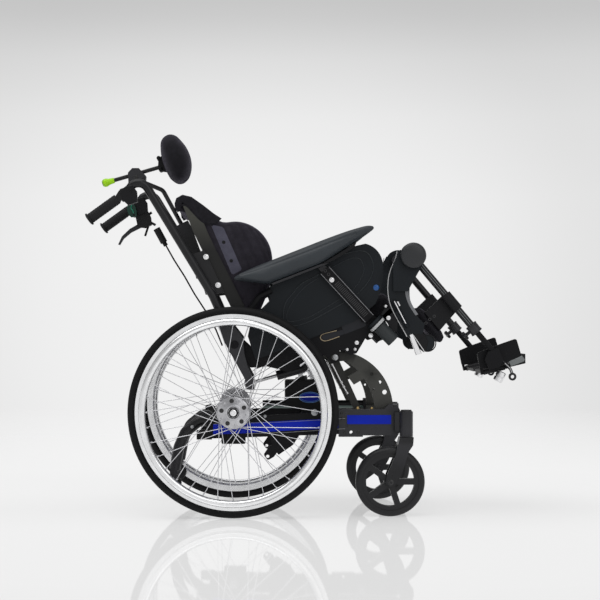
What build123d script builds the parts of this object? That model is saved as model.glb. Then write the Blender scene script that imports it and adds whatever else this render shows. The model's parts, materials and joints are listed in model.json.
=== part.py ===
"""A tilt in space wheelchair, reclined, with its legrests raised.

Millimetres. +X points forward, +Y to the sitter's left and +Z up. The origin lies on the floor under the
middle of the chair. Every piece of the right-hand side is drawn at negative Y, and mirrored for the left.
The seat unit is drawn on its own plane, which starts at the tilt pivot: A runs forward along the seat
and N is the height above it.
"""

from build123d import *
from math import atan2, cos, degrees, hypot, radians, sin
import os

os.makedirs("parts", exist_ok=True)

# ---------------------------------------------------------------- driving dimensions
# Rear wheels: 24 inch
rear_wheel_radius = 302.5
rear_wheel_x = -211.0
wheel_standoff = 55.0
tyre_width = 35.0
tyre_depth = 19.5
rim_width = 24.0
rim_depth = 25.0
handrim_radius = 259.0
handrim_tube_radius = 10.0
handrim_gap = 16.0
handrim_tab_count = 6
spoke_count = 36
spoke_radius = 1.1
spoke_cross_angle = 60.0
hub_barrel_radius = 26.0
hub_flange_radius = 46.0
hub_drum_radius = 50.0
axle_radius = 6.0

# Castors: 8 inch
castor_radius = 100.0
castor_width = 32.0
castor_x = 241.5
castor_standoff = 15.0
castor_trail = 47.0
castor_spoke_count = 5
castor_core_radius = 83.0
fork_leg_thickness = 7.0
fork_gap = 42.0
housing_radius = 19.5
housing_bottom = 229.5
housing_top = 302.0
stem_radius = 6.0

# Chassis
beam_offset = 4.0
beam_width = 26.0
cross_tube_radius = 15.0
trim_thickness = 1.5
arm_gap = 8.0
arm_thickness = 16.0
pivot_x = 80.0
pivot_z = 458.0
pivot_pin_radius = 8.0
anti_tip_gap = 3.0
anti_tip_radius = 16.0
roller_radius = 25.0

# Seat unit
seat_angle = 21.3
seat_width = 426.0
seat_cushion_length = 430.0
seat_cushion_height = 76.0
cushion_overhang = 5.0
rail_thickness = 16.0
rail_top = 82.0
guard_thickness = 5.0
recline_x = -208.0
recline_z = 496.0
post_width = 33.0
post_depth = 16.0
armpad_offset = 24.0
armpad_width = 70.0
armpad_bottom = 266.0

# Back
cane_offset = 21.0
cane_radius = 12.5
cane_wall = 2.0
lever_half = 14.0
shell_width = 424.0
shell_wall = 4.0

# Legrests
leg_offset = 19.0
hanger_thickness = 22.0
knee_x = 307.0
knee_z = 753.0
knee_radius = 37.0
knee_pin_radius = 8.0
leg_slope = 49.7
leg_tube_radius = 11.0
foot_tube_radius = 8.5
leg_tube_length = 290.0
foot_reach = 365.0
footplate_width = 178.0
footplate_gap = 13.0
footplate_hinge_gap = 9.0
footplate_drop = 35.0
footplate_length = 122.0
footplate_heel = 43.0

# Clearances
running_fit = 0.05
sliding_fit = 0.3
side_gap = 1.0

# ---------------------------------------------------------------- derived places
rear_axle = (rear_wheel_x, rear_wheel_radius)
rim_radius = rear_wheel_radius - tyre_depth
unit_half = max(seat_width, shell_width) / 2
rail_y = unit_half - cushion_overhang
rail_in = rail_y - rail_thickness / 2
rail_out = rail_y + rail_thickness / 2
guard_out = rail_out + guard_thickness
beam_y = rail_y + beam_offset
beam_in = beam_y - beam_width / 2
beam_out = beam_y + beam_width / 2
arm_y = rail_in - arm_gap - arm_thickness / 2
anti_tip_y = beam_in - anti_tip_radius - anti_tip_gap
rear_wheel_y = beam_out + wheel_standoff
castor_y = beam_out + castor_standoff
armpad_y = guard_out + armpad_offset
cane_y = rail_out + cane_offset
footplate_out = footplate_gap + footplate_width
plate_pivot_y = footplate_out + footplate_hinge_gap
leg_y = max(rail_out + leg_offset, plate_pivot_y + footplate_drop)
castor_stem_x = castor_x + castor_trail
pivot = (pivot_x, pivot_z)
recline_pivot = (recline_x, recline_z)
knee = (knee_x, knee_z)
seat_frame = Plane(
    origin=(pivot_x, 0, pivot_z),
    x_dir=(cos(radians(seat_angle)), 0, sin(radians(seat_angle))),
    z_dir=(-sin(radians(seat_angle)), 0, cos(radians(seat_angle))),
)


# ---------------------------------------------------------------- drawing helpers
def side(y):
    """The upright plane at y, on which an outline is drawn in X and Z."""
    return Plane.XZ.offset(-y)


def seat_point(along, height):
    """The X and Z of a point given along the seat and above it."""
    place = seat_frame.from_local_coords(Vector(along, 0, height))
    return (place.X, place.Z)


def seat_outline(points):
    """An outline given along the seat and above it, turned into X and Z."""
    return [seat_point(along, height) for along, height in points]


def on_line(start, slope, distance, lift=0.0):
    """The X and Z at a distance down a line that falls by slope, and lift above it."""
    fall = radians(slope)
    x = start[0] + distance * cos(fall) + lift * sin(fall)
    z = start[1] - distance * sin(fall) + lift * cos(fall)
    return (x, z)


def add_plate(outline, y_low, y_high, rounding=0.0, mode=Mode.ADD):
    """Adds a flat plate with this side outline, between two distances to the right of the middle."""
    with BuildSketch(side(-(y_low + y_high) / 2)) as face:
        with BuildLine():
            Polyline(*outline, close=True)
        make_face()
        if rounding:
            fillet(face.vertices(), rounding)
    extrude(face.sketch, amount=abs(y_high - y_low) / 2, both=True, mode=mode)


def add_disc(centre, radius, y_low, y_high, bore=0.0, mode=Mode.ADD):
    """Adds a round disc or ring whose axis runs across the chair."""
    with BuildSketch(side(-(y_low + y_high) / 2)) as face:
        with Locations(centre):
            Circle(radius)
            if bore:
                Circle(bore, mode=Mode.SUBTRACT)
    extrude(face.sketch, amount=abs(y_high - y_low) / 2, both=True, mode=mode)


def add_bar(start, end, radius, bore=0.0, mode=Mode.ADD):
    """Adds a straight round bar between two points."""
    run = Vector(*end) - Vector(*start)
    with BuildSketch(Plane(origin=start, z_dir=run)) as section:
        Circle(radius)
        if bore:
            Circle(bore, mode=Mode.SUBTRACT)
    extrude(section.sketch, amount=run.length, mode=mode)


def add_tube(route, radius, bend, bore=0.0, mode=Mode.ADD):
    """Adds a bent round tube along a route of points."""
    with BuildLine() as path:
        FilletPolyline(*route, radius=bend)
    start = path.wires()[0]
    with BuildSketch(Plane(origin=start @ 0, z_dir=start % 0)) as section:
        Circle(radius)
        if bore:
            Circle(bore, mode=Mode.SUBTRACT)
    sweep(section.sketch, path=start, mode=mode)


def at(place, y):
    """A point of the right-hand side, y from the middle."""
    return (place[0], -y, place[1])


def save(piece, name):
    """Labels a piece and writes it."""
    piece.label = name
    export_step(piece, f"parts/{name}.step")


def save_pair(piece, name):
    """Writes a right-hand piece and its left-hand mirror image."""
    save(piece, f"{name}_right")
    save(mirror(piece, about=Plane.XZ), f"{name}_left")


# ---------------------------------------------------------------- chassis
beam_tail = -318.0
beam_front = 94.0
beam_outline = [
    (beam_tail, 221),
    (beam_tail, 247),
    (-290, 250),
    (-290, 279),
    (beam_front, 303),
    (beam_front, 236),
    (-274, 224),
    (-274, 221),
]
beam_rise = (236.0 - 224.0) / (beam_front + 274.0)
tie_down_eye = (-112.0, 171.0)
tie_down_eye_radius = 5.0
tie_down_thickness = 14.0
anti_tip_pivot = (-275.0, 270.0)
anti_tip_pin_end = anti_tip_y - anti_tip_radius - 3
with BuildPart() as side_beams:
    add_plate(beam_outline, beam_in, beam_out)
    bracket_in = beam_y - tie_down_thickness / 2
    bracket_out = beam_y + tie_down_thickness / 2
    bracket = [
        (-107, 226 + (274 - 107) * beam_rise),
        (-19, 226 + (274 - 19) * beam_rise),
        (-38, 205),
        (-80, 176),
        (-88, 184),
        (-96, 190),
    ]
    add_plate(bracket, bracket_in, bracket_out)
    hook = [(-104, 206), (-124, 176), (-112, 160), (-94, 170), (-80, 190)]
    add_plate(hook, bracket_in, bracket_out, rounding=6)
    add_disc(tie_down_eye, tie_down_eye_radius, bracket_in, bracket_out, mode=Mode.SUBTRACT)
    add_bar(at(anti_tip_pivot, beam_in + 3), at(anti_tip_pivot, anti_tip_pin_end), axle_radius)
    add_bar(at(anti_tip_pivot, anti_tip_pin_end), at(anti_tip_pivot, anti_tip_pin_end - 4), axle_radius + 4)
    mirror(about=Plane.XZ)
save(side_beams.part, "side_beams")

casting_outline = [
    (beam_front, 228),
    (beam_front, 308),
    (225, 308),
    (240, 322),
    (264, 322),
    (272, 305),
    (272, 240),
    (249, 232),
    (164, 232),
    (164, 228),
]
tie_down_hole = (130.0, 241.0)
tie_down_hole_radius = 5.0
plate_hole_radius = 2.8
plate_holes = [(111, 241), (149, 241), (104, 297), (104, 281), (120, 262)]
with BuildPart() as front_castings:
    add_plate(casting_outline, beam_in, beam_out)
    housing_link = [(255, 244), (255, 300), (castor_stem_x, 300), (castor_stem_x, 244)]
    add_plate(housing_link, beam_out - 4, castor_y)
    add_bar(
        (castor_stem_x, -castor_y, housing_bottom),
        (castor_stem_x, -castor_y, housing_top),
        housing_radius,
    )
    add_bar(
        (castor_stem_x, -castor_y, housing_top),
        (castor_stem_x, -castor_y, housing_top + 5),
        housing_radius - 4,
    )
    add_bar(
        (castor_stem_x, -castor_y, housing_bottom),
        (castor_stem_x, -castor_y, housing_top - 6),
        stem_radius + running_fit,
        mode=Mode.SUBTRACT,
    )
    add_disc(tie_down_hole, tie_down_hole_radius, beam_in, beam_out, mode=Mode.SUBTRACT)
    for hole in plate_holes:
        add_disc(hole, plate_hole_radius, beam_in, beam_out, mode=Mode.SUBTRACT)
    mirror(about=Plane.XZ)
save(front_castings.part, "front_castings")

axle_plate_rear = rear_wheel_x - 35
axle_plate_front = rear_wheel_x + 35
cover_half_width = 55.0
badge_centre = (16.0, 335.0)
with BuildPart() as blue_trims:
    trim_out = beam_out + trim_thickness
    add_plate(
        [(-270, 236), (-270, 265), (axle_plate_rear - 1, 266), (axle_plate_rear - 1, 237)],
        beam_out,
        trim_out,
    )
    front_trim = [
        (axle_plate_front + 1, 240),
        (axle_plate_front + 1, 269),
        (beam_front - 2, 282),
        (beam_front - 2, 254),
    ]
    add_plate(front_trim, beam_out, trim_out)
    add_plate([(118, 265), (118, 291), (246, 291), (246, 265)], beam_out, trim_out, rounding=2)
    with BuildSketch(side(-cover_half_width - trim_thickness / 2)) as badge:
        with Locations(badge_centre):
            Ellipse(31, 14.5)
    extrude(badge.sketch, amount=trim_thickness / 2, both=True)
    mirror(about=Plane.XZ)
save(blue_trims.part, "blue_trims")

lift_foot = (10.0, 312.0)
lift_head = (-20.0, 440.0)
lift_pin_radius = 6.0
lift_eye_half = 19.0
tube_end_x = 176.0
tube_y = 40.0
tube_z = 314.0
with BuildPart() as cross_tubes:
    for place in ((-215, 250), (lift_foot[0], 272), (180, 272)):
        add_bar(at(place, beam_in), at(place, -beam_in), cross_tube_radius)
    ear = [(-6, 276), (-6, lift_foot[1]), (10, 326), (26, lift_foot[1]), (26, 276)]
    for low in (lift_eye_half + side_gap, -lift_eye_half - side_gap - 6):
        add_plate(ear, low, low + 6, rounding=3)
    add_bar(at(lift_foot, lift_eye_half + 7), at(lift_foot, -lift_eye_half - 7), lift_pin_radius)
    add_plate([(tube_end_x, 280), (tube_end_x, 332), (tube_end_x + 8, 332), (tube_end_x + 8, 280)], 24, 56)
save(cross_tubes.part, "cross_tubes")

arm_in = arm_y - arm_thickness / 2
arm_out = arm_y + arm_thickness / 2
strut_in = arm_in - 16
strut_out = arm_in - 2
arm_base_top = 300.0
with BuildPart() as curved_arms:
    with BuildSketch(side(-arm_y)) as arch:
        with BuildLine():
            outer = ThreePointArc((254, 316), (226, 401), (143, 467))
            top = Line((143, 467), (pivot_x, pivot_z + 14))
            Line(top @ 1, (pivot_x, pivot_z - 14))
            under = Line((pivot_x, pivot_z - 14), (114, 448))
            inner = ThreePointArc(under @ 1, (170, 396), (200, 316))
            Polyline(inner @ 1, (200, 262), (254, 262), outer @ 0)
        make_face()
    extrude(arch.sketch, amount=arm_thickness / 2, both=True)
    add_disc(pivot, 14, strut_in, rail_in - side_gap / 2)
    add_plate([(122, 402), (140, 378), (184, 404), (160, 424)], arm_in, arm_out)
    add_plate([(74, 448), (96, 452), (166, arm_base_top - 2), (144, arm_base_top - 2)], strut_in, strut_out)
    add_plate([(140, 262), (140, arm_base_top), (254, arm_base_top), (254, 262)], strut_in, beam_in)
    for hole, radius in (((216, 385), 5), ((230, 356), 7), ((197, 364), 3.5)):
        add_disc(hole, radius, arm_in, arm_out, mode=Mode.SUBTRACT)
    add_disc((192, 409), 5, arm_out - 4, arm_out, mode=Mode.SUBTRACT)
    add_bar(at((180, 272), beam_in), at((180, 272), 0), cross_tube_radius, mode=Mode.SUBTRACT)
    add_bar(at(pivot, strut_in), at(pivot, rail_out + 2), pivot_pin_radius)
    mirror(about=Plane.XZ)
save(curved_arms.part, "curved_arms")

axle_plate_out = beam_out + 12
hub_outer_face = rear_wheel_y + 28
hub_inner_face = rear_wheel_y - 38
with BuildPart() as axle_plates:
    plate = [
        (axle_plate_rear, 209),
        (axle_plate_rear, 288),
        (axle_plate_rear + 14, rear_axle[1] + 26),
        (axle_plate_front - 14, rear_axle[1] + 26),
        (axle_plate_front, 288),
        (axle_plate_front, 209),
    ]
    add_plate(plate, beam_out, axle_plate_out, rounding=5)
    add_bar(at(rear_axle, axle_plate_out), at(rear_axle, hub_outer_face + 2), axle_radius)
    add_bar(at(rear_axle, hub_outer_face + 2), at(rear_axle, hub_outer_face + 7), axle_radius + 6)
    mirror(about=Plane.XZ)
save(axle_plates.part, "axle_plates")

cover_rear = -58.0
cover_front = 52.0
cover_bottom = 301.0
cover_top = 386.0
cover_wall = 3.0
cover_end_bottom = 331.0
with BuildPart() as actuator_cover:
    skin = [
        (cover_rear + 22, cover_bottom),
        (cover_rear, cover_bottom + 16),
        (cover_rear, cover_top),
        (cover_front, cover_top),
        (cover_front, cover_bottom),
    ]
    add_plate(skin, -cover_half_width, cover_half_width, rounding=6)
    hollow = [
        (cover_rear + 20, cover_bottom - 5),
        (cover_rear + cover_wall, cover_bottom + 18),
        (cover_rear + cover_wall, cover_top - cover_wall),
        (cover_front - cover_wall, cover_top - cover_wall),
        (cover_front - cover_wall, cover_bottom - 5),
    ]
    inside = cover_half_width - cover_wall
    add_plate(hollow, -inside, inside, mode=Mode.SUBTRACT)
    add_plate(
        [
            (cover_rear - 5, 290),
            (cover_rear - 5, cover_end_bottom),
            (cover_front + 5, cover_end_bottom),
            (cover_front + 5, 290),
        ],
        -inside,
        inside,
        mode=Mode.SUBTRACT,
    )
    add_plate(
        [(-42, cover_top - 10), (-42, cover_top + 5), (32, cover_top + 5), (32, cover_top - 10)],
        -18,
        18,
        mode=Mode.SUBTRACT,
    )
save(actuator_cover.part, "actuator_cover")

with BuildPart() as actuator_tube:
    add_bar((-126, -tube_y, tube_z), (tube_end_x, -tube_y, tube_z), 12, bore=9)
    add_bar((-126, -tube_y, tube_z), (-120, -tube_y, tube_z), 12)
save(actuator_tube.part, "actuator_tube")

# ---------------------------------------------------------------- anti-tips
anti_tip_route = [(-250, 277), (-312, 272), (-352, 240), (-371, 196), (-383, 132)]
roller_centre = (-388.0, 92.0)
roller_half = 8.0
ear_thickness = 4.0
roller_pin_radius = 4.0
with BuildPart() as anti_tip_tube:
    add_tube([at(p, anti_tip_y) for p in anti_tip_route], anti_tip_radius, 32)
    add_disc(anti_tip_route[0], anti_tip_radius, anti_tip_y - anti_tip_radius, anti_tip_y + anti_tip_radius)
    add_plate(
        [(-304, 284), (-304, 300), (-286, 304), (-268, 292)],
        anti_tip_y - 7,
        anti_tip_y + 7,
        rounding=3,
    )
    for low in (roller_half + side_gap, -roller_half - side_gap - ear_thickness):
        ear = [(-395, 84), (-397, 134), (-372, 138), (-380, 84)]
        add_plate(ear, anti_tip_y + low, anti_tip_y + low + ear_thickness, rounding=4)
    ear_reach = roller_half + side_gap + ear_thickness
    add_disc(roller_centre, roller_pin_radius, anti_tip_y - ear_reach, anti_tip_y + ear_reach)
    add_disc(
        anti_tip_pivot,
        axle_radius + running_fit,
        anti_tip_y - 20,
        beam_in,
        mode=Mode.SUBTRACT,
    )
save_pair(anti_tip_tube.part, "anti_tip_tube")

with BuildPart() as anti_tip_roller:
    add_disc(
        roller_centre,
        roller_radius,
        anti_tip_y - roller_half,
        anti_tip_y + roller_half,
        bore=roller_pin_radius + running_fit,
    )
    fillet(anti_tip_roller.edges().filter_by(GeomType.CIRCLE).sort_by(SortBy.LENGTH)[-2:], 3)
save_pair(anti_tip_roller.part, "anti_tip_roller")

# ---------------------------------------------------------------- rear wheels
wheel_axis = Axis((rear_wheel_x, 0, rear_wheel_radius), (0, 1, 0))
wheel_section = Plane(
    origin=(rear_wheel_x, -rear_wheel_y, rear_wheel_radius),
    x_dir=(0, 1, 0),
    z_dir=(1, 0, 0),
)
with BuildPart() as rear_tyre:
    with BuildSketch(wheel_section):
        with BuildLine():
            half = tyre_width / 2
            shoulder = (half - 4.5, rear_wheel_radius - 4.5)
            flank = (half, rim_radius + tyre_depth * 0.42)
            bead = (half - 4.5, rim_radius)
            Line((-bead[0], bead[1]), bead)
            ThreePointArc(bead, flank, shoulder)
            ThreePointArc(shoulder, (0, rear_wheel_radius), (-shoulder[0], shoulder[1]))
            ThreePointArc((-shoulder[0], shoulder[1]), (-flank[0], flank[1]), (-bead[0], bead[1]))
        make_face()
    revolve(axis=wheel_axis)
save_pair(rear_tyre.part, "rear_tyre")

with BuildPart() as rear_rim:
    with BuildSketch(wheel_section):
        with BuildLine():
            half = rim_width / 2
            inner = rim_radius - rim_depth
            Polyline(
                (-half, rim_radius),
                (half, rim_radius),
                (half, inner + 5),
                (half - 5, inner),
                (-half + 5, inner),
                (-half, inner + 5),
                close=True,
            )
        make_face()
    revolve(axis=wheel_axis)
save_pair(rear_rim.part, "rear_rim")

flange_offsets = (18.0, -24.0)
flange_half = 1.5
head_offset = 4.2
drum_offset = 27.0
head_radius = hub_flange_radius - 3
spoke_reach = rim_radius - rim_depth - 0.4
with BuildPart() as wheel_hub:
    with BuildSketch(wheel_section):
        with BuildLine():
            bore = axle_radius + running_fit
            Polyline(
                (-28, bore),
                (-28, 22),
                (flange_offsets[1] - flange_half, 22),
                (flange_offsets[1] - flange_half, hub_flange_radius),
                (flange_offsets[1] + flange_half, hub_flange_radius),
                (flange_offsets[1] + flange_half, hub_barrel_radius),
                (flange_offsets[0] - flange_half, hub_barrel_radius),
                (flange_offsets[0] - flange_half, hub_flange_radius),
                (flange_offsets[0] + flange_half, hub_flange_radius),
                (flange_offsets[0] + flange_half, hub_barrel_radius),
                (drum_offset, hub_barrel_radius),
                (drum_offset, hub_drum_radius),
                (38, hub_drum_radius),
                (38, bore),
                close=True,
            )
        make_face()
    revolve(axis=wheel_axis)
    for index in range(spoke_count):
        flange = flange_offsets[index % 2]
        lead = 1 if index % 4 < 2 else -1
        offset = flange + lead * head_offset
        rim_angle = radians(360 * index / spoke_count)
        hub_angle = rim_angle + lead * radians(spoke_cross_angle)
        start = (
            rear_wheel_x + head_radius * cos(hub_angle),
            -rear_wheel_y + offset,
            rear_wheel_radius + head_radius * sin(hub_angle),
        )
        end = (
            rear_wheel_x + spoke_reach * cos(rim_angle),
            -rear_wheel_y,
            rear_wheel_radius + spoke_reach * sin(rim_angle),
        )
        add_bar(start, end, spoke_radius)
save_pair(wheel_hub.part, "wheel_hub")

handrim_y = rear_wheel_y + rim_width / 2 + handrim_gap + handrim_tube_radius
with BuildPart() as handrim:
    with BuildSketch(wheel_section):
        with Locations((-(handrim_y - rear_wheel_y), handrim_radius)):
            RectangleRounded(2 * handrim_tube_radius, 2 * handrim_tube_radius, 0.98 * handrim_tube_radius)
    revolve(axis=wheel_axis)
    for index in range(handrim_tab_count):
        angle = radians(360 * index / handrim_tab_count)
        reach = handrim_radius + handrim_tube_radius / 2
        tab = (rear_wheel_x + reach * cos(angle), rear_wheel_radius + reach * sin(angle))
        add_bar(at(tab, rear_wheel_y + rim_width / 2), at(tab, handrim_y - 2), 4)
save_pair(handrim.part, "handrim")

# ---------------------------------------------------------------- castors
castor_axle = (castor_x, castor_radius)
crown_top = housing_bottom - side_gap
crown_bottom = 2 * castor_radius + 6
castor_bolt_radius = 4.0
with BuildPart() as castor_fork:
    fork_half = fork_gap / 2 + fork_leg_thickness
    crown = [(262, crown_bottom), (268, crown_top), (308, crown_top), (306, crown_bottom)]
    add_plate(crown, castor_y - fork_half, castor_y + fork_half)
    leg = [
        (262, crown_bottom),
        (306, crown_bottom),
        (294, 188),
        (275, 128),
        (castor_x + 15, castor_radius - 4),
        (castor_x, castor_radius - 15),
        (castor_x - 15, castor_radius - 2),
        (castor_x - 10, castor_radius + 24),
        (256, 180),
    ]
    for low in (castor_y + fork_gap / 2, castor_y - fork_half):
        add_plate(leg, low, low + fork_leg_thickness)
    add_disc(castor_axle, castor_bolt_radius, castor_y - fork_half - 4, castor_y + fork_half + 4)
    add_bar(
        (castor_stem_x, -castor_y, crown_top - 5),
        (castor_stem_x, -castor_y, housing_top - 8),
        stem_radius,
    )
save_pair(castor_fork.part, "castor_fork")

with BuildPart() as castor_core:
    hub_half = fork_gap / 2 - side_gap
    with BuildSketch(side(-castor_y)):
        with Locations(castor_axle):
            Circle(castor_core_radius)
            Circle(castor_core_radius - 13, mode=Mode.SUBTRACT)
            with PolarLocations(castor_core_radius / 2, castor_spoke_count):
                Rectangle(castor_core_radius - 8, 17)
            Circle(19)
    extrude(amount=castor_width / 2 - 3, both=True)
    add_disc(castor_axle, 15, castor_y - hub_half, castor_y + hub_half)
    add_disc(
        castor_axle,
        castor_bolt_radius + running_fit,
        castor_y - fork_gap,
        castor_y + fork_gap,
        mode=Mode.SUBTRACT,
    )
castor_section = Plane(origin=(castor_x, -castor_y, castor_radius), x_dir=(0, 1, 0), z_dir=(1, 0, 0))
with BuildPart() as castor_tyre:
    with BuildSketch(castor_section):
        with BuildLine():
            half = castor_width / 2
            Line((-half, castor_core_radius), (half, castor_core_radius))
            ThreePointArc(
                (half, castor_core_radius),
                (half - 3, castor_radius - 5),
                (half - 9, castor_radius),
            )
            Line((half - 9, castor_radius), (-half + 9, castor_radius))
            ThreePointArc(
                (-half + 9, castor_radius),
                (-half + 3, castor_radius - 5),
                (-half, castor_core_radius),
            )
        make_face()
    revolve(axis=Axis((castor_x, 0, castor_radius), (0, 1, 0)))
save_pair(Compound(children=[castor_core.part, castor_tyre.part]), "castor_wheel")

# ---------------------------------------------------------------- lift drive
lift_run = Vector(lift_head[0] - lift_foot[0], 0, lift_head[1] - lift_foot[1])
lift_way = lift_run.normalized()


def on_lift(distance):
    """The point this far up the lift drive."""
    place = Vector(lift_foot[0], 0, lift_foot[1]) + lift_way * distance
    return (place.X, place.Y, place.Z)


lift_rod_radius = 8.0
with BuildPart() as lift_cylinder:
    add_bar(on_lift(8), on_lift(86), 18)
    add_disc(lift_foot, 14, -lift_eye_half, lift_eye_half)
    add_bar(on_lift(19), on_lift(90), lift_rod_radius + running_fit, mode=Mode.SUBTRACT)
    add_disc(lift_foot, lift_pin_radius + running_fit, -30, 30, mode=Mode.SUBTRACT)
save(lift_cylinder.part, "lift_cylinder")

lift_eye_bore = 12.0
with BuildPart() as lift_rod:
    add_bar(on_lift(30), on_lift(lift_run.length - lift_eye_bore - 2), lift_rod_radius)
    add_disc(lift_head, lift_eye_bore + 5, -6, 6)
    add_disc(lift_head, lift_eye_bore, -10, 10, mode=Mode.SUBTRACT)
save(lift_rod.part, "lift_rod")

# ---------------------------------------------------------------- seat unit
rail_outline = [
    (168, -4),
    (168, 40),
    (150, rail_top),
    (-200, rail_top),
    (-236, 156),
    (-268, 160),
    (-280, 128),
    (-235, 60),
    (-190, 46),
    (-160, 25),
    (-140, 8),
    (-70, 8),
    (-40, 22),
    (-20, 14),
    (-12, -15),
    (12, -15),
    (22, 14),
    (36, 6),
    (46, -10),
    (66, -13),
    (88, 4),
    (104, 17),
    (120, 24),
    (134, -4),
]
with BuildPart() as seat_rails:
    add_plate(seat_outline(rail_outline), rail_in, rail_out, rounding=4)
    add_disc(pivot, pivot_pin_radius + running_fit, rail_in - 5, rail_out + 5, mode=Mode.SUBTRACT)
    add_disc(recline_pivot, 8, rail_out - 2, cane_y + lever_half + side_gap)
    add_disc(recline_pivot, 12, cane_y + lever_half + side_gap / 2, cane_y + lever_half + 4)
    mirror(about=Plane.XZ)
save(seat_rails.part, "seat_rails")

pan_bottom = 50.0
pan_thickness = 6.0
pan_rear = -222.0
pan_front = 168.0
spring_y = 90.0
spring_seat_pin = (10.0, 428.0)
spring_pin_radius = 5.0
with BuildPart() as seat_pan:
    pan = [
        (pan_rear, pan_bottom),
        (pan_rear, pan_bottom + pan_thickness),
        (pan_front, pan_bottom + pan_thickness),
        (pan_front, pan_bottom),
    ]
    add_plate(seat_outline(pan), -rail_in, rail_in)
    for low in (8, -14):
        add_plate(seat_outline([(-120, pan_bottom), (-112, 8), (-88, 8), (-80, pan_bottom)]), low, low + 6)
    add_disc(lift_head, lift_pin_radius, -14, 14)
    for low in (spring_y + 15, spring_y - 21):
        add_plate(seat_outline([(-98, pan_bottom), (-88, -14), (-64, -14), (-50, pan_bottom)]), low, low + 6)
    add_disc(spring_seat_pin, spring_pin_radius, spring_y - 21, spring_y + 21)
    add_plate(seat_outline([(150, 28), (150, pan_bottom), (166, pan_bottom), (166, 28)]), -rail_in, rail_in)
save(seat_pan.part, "seat_pan")

cushion_bottom = pan_bottom + pan_thickness + sliding_fit
cushion_rear = -205.0
with BuildPart() as seat_cushion:
    middle = cushion_rear + seat_cushion_length / 2
    base_half = rail_in - 2
    top_half = seat_width / 2
    for height, half, inset in (
        (0, base_half - 4, 8),
        (8, base_half, 2),
        (rail_top - cushion_bottom, base_half, 2),
        (rail_top - cushion_bottom + 2, base_half + 4, 3),
        (36, top_half, 0),
        (54, top_half, 0),
        (67, top_half - 12, 12),
        (seat_cushion_height, top_half - 70, 70),
    ):
        with BuildSketch(seat_frame.offset(cushion_bottom + height)):
            with Locations((middle, 0)):
                RectangleRounded(seat_cushion_length - 2 * inset, 2 * half, 40)
    loft(ruled=True)
save(seat_cushion.part, "seat_cushion")

guard_foot = seat_point(-215, 76)
with BuildPart() as side_guards:
    with BuildSketch(side(-(rail_out + guard_out) / 2)) as panel:
        with BuildLine():
            Polyline(
                seat_point(96, 76),
                guard_foot,
                (-170, 520),
                (-154, 596),
                (-130, 600),
                (-104, 626),
                (-116, 660),
            )
            under_pad = armpad_bottom - 4
            Polyline((-116, 660), seat_point(66, under_pad), seat_point(165, under_pad + 19), (172, 789))
            ThreePointArc((172, 789), (203, 772), (222, 736))
            ThreePointArc((222, 736), (222, 682), (200, 613))
            Line((200, 613), seat_point(96, 76))
        make_face()
    extrude(panel.sketch, amount=guard_thickness / 2, both=True)
    mirror(about=Plane.XZ)
save(side_guards.part, "side_guards")

post_slope = 47.4
post_top = (38.0, 727.0)
post_start = 20.0
post_end = 214.0
post_in = guard_out + 3
post_out = post_in + post_depth
slide_width = 21.0
slide_depth = 8.0
slide_length = 150.0


def post_outline(start, end, half_width):
    """A strip along the arm post, between two distances down it."""
    return [
        on_line(post_top, post_slope, start, half_width),
        on_line(post_top, post_slope, end, half_width),
        on_line(post_top, post_slope, end, -half_width),
        on_line(post_top, post_slope, start, -half_width),
    ]


arm_tube_radius = 9.0
arm_tube_route = [(-102, 653), (-138, 634), (-160, 600), (-167, 548)]
arm_tube_lugs = [(-106, 648), (-155, 560)]
with BuildPart() as arm_posts:
    add_plate(post_outline(post_start, post_end, post_width / 2), post_in, post_out)
    cavity_in = (post_in + post_out - slide_depth) / 2 - sliding_fit
    cavity_out = (post_in + post_out + slide_depth) / 2 + sliding_fit
    add_plate(
        post_outline(post_start - 2, slide_length + 6, slide_width / 2 + sliding_fit),
        cavity_in,
        cavity_out,
        mode=Mode.SUBTRACT,
    )
    add_plate(seat_outline([(112, 66), (112, 88), (134, 88), (134, 66)]), guard_out, post_in)
    arm_tube_y = guard_out + arm_tube_radius + side_gap
    add_tube([at(p, arm_tube_y) for p in arm_tube_route], arm_tube_radius, 30)
    for lug in arm_tube_lugs:
        add_disc(lug, 5, guard_out, arm_tube_y)
    mirror(about=Plane.XZ)
save(arm_posts.part, "arm_posts")

socket_centre = (226.0, 532.0)
socket_slope = 45.0
socket_radius = 20.0
socket_top = -23.0
socket_bottom = 36.0
swing_pin_radius = 7.0
socket_y = leg_y + 11


def on_socket(distance):
    """The point this far down the axis on which the legrest swings."""
    return at(on_line(socket_centre, socket_slope, distance), socket_y)


with BuildPart() as legrest_sockets:
    add_bar(on_socket(socket_top), on_socket(socket_bottom), socket_radius)
    block = [
        on_line(socket_centre, socket_slope, d, lift)
        for d, lift in ((-20, 14), (26, 14), (26, -14), (-20, -14))
    ]
    add_plate(block, rail_out, socket_y)
    add_bar(on_socket(socket_top - 1), on_socket(32), swing_pin_radius + running_fit, mode=Mode.SUBTRACT)
    mirror(about=Plane.XZ)
save(legrest_sockets.part, "legrest_sockets")

# ---------------------------------------------------------------- armrests
armpad_stations = [
    (-190, 312, 322, 46),
    (-168, 305, 327, 64),
    (-104, armpad_bottom, 325, 70),
    (62, armpad_bottom, 326, 70),
    (165, 288, 328, 68),
    (226, 299, 324, 60),
    (246, 304, 316, 44),
]
with BuildPart() as arm_pad:
    for along, low, high, width in armpad_stations:
        x, z = seat_point(along, (low + high) / 2)
        station = Plane(origin=(x, -armpad_y, z), x_dir=(0, 1, 0), z_dir=seat_frame.x_dir)
        with BuildSketch(station):
            RectangleRounded(width * armpad_width / 70, high - low, (high - low) * 0.4)
    loft(ruled=True)
save_pair(arm_pad.part, "arm_pad")

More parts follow.
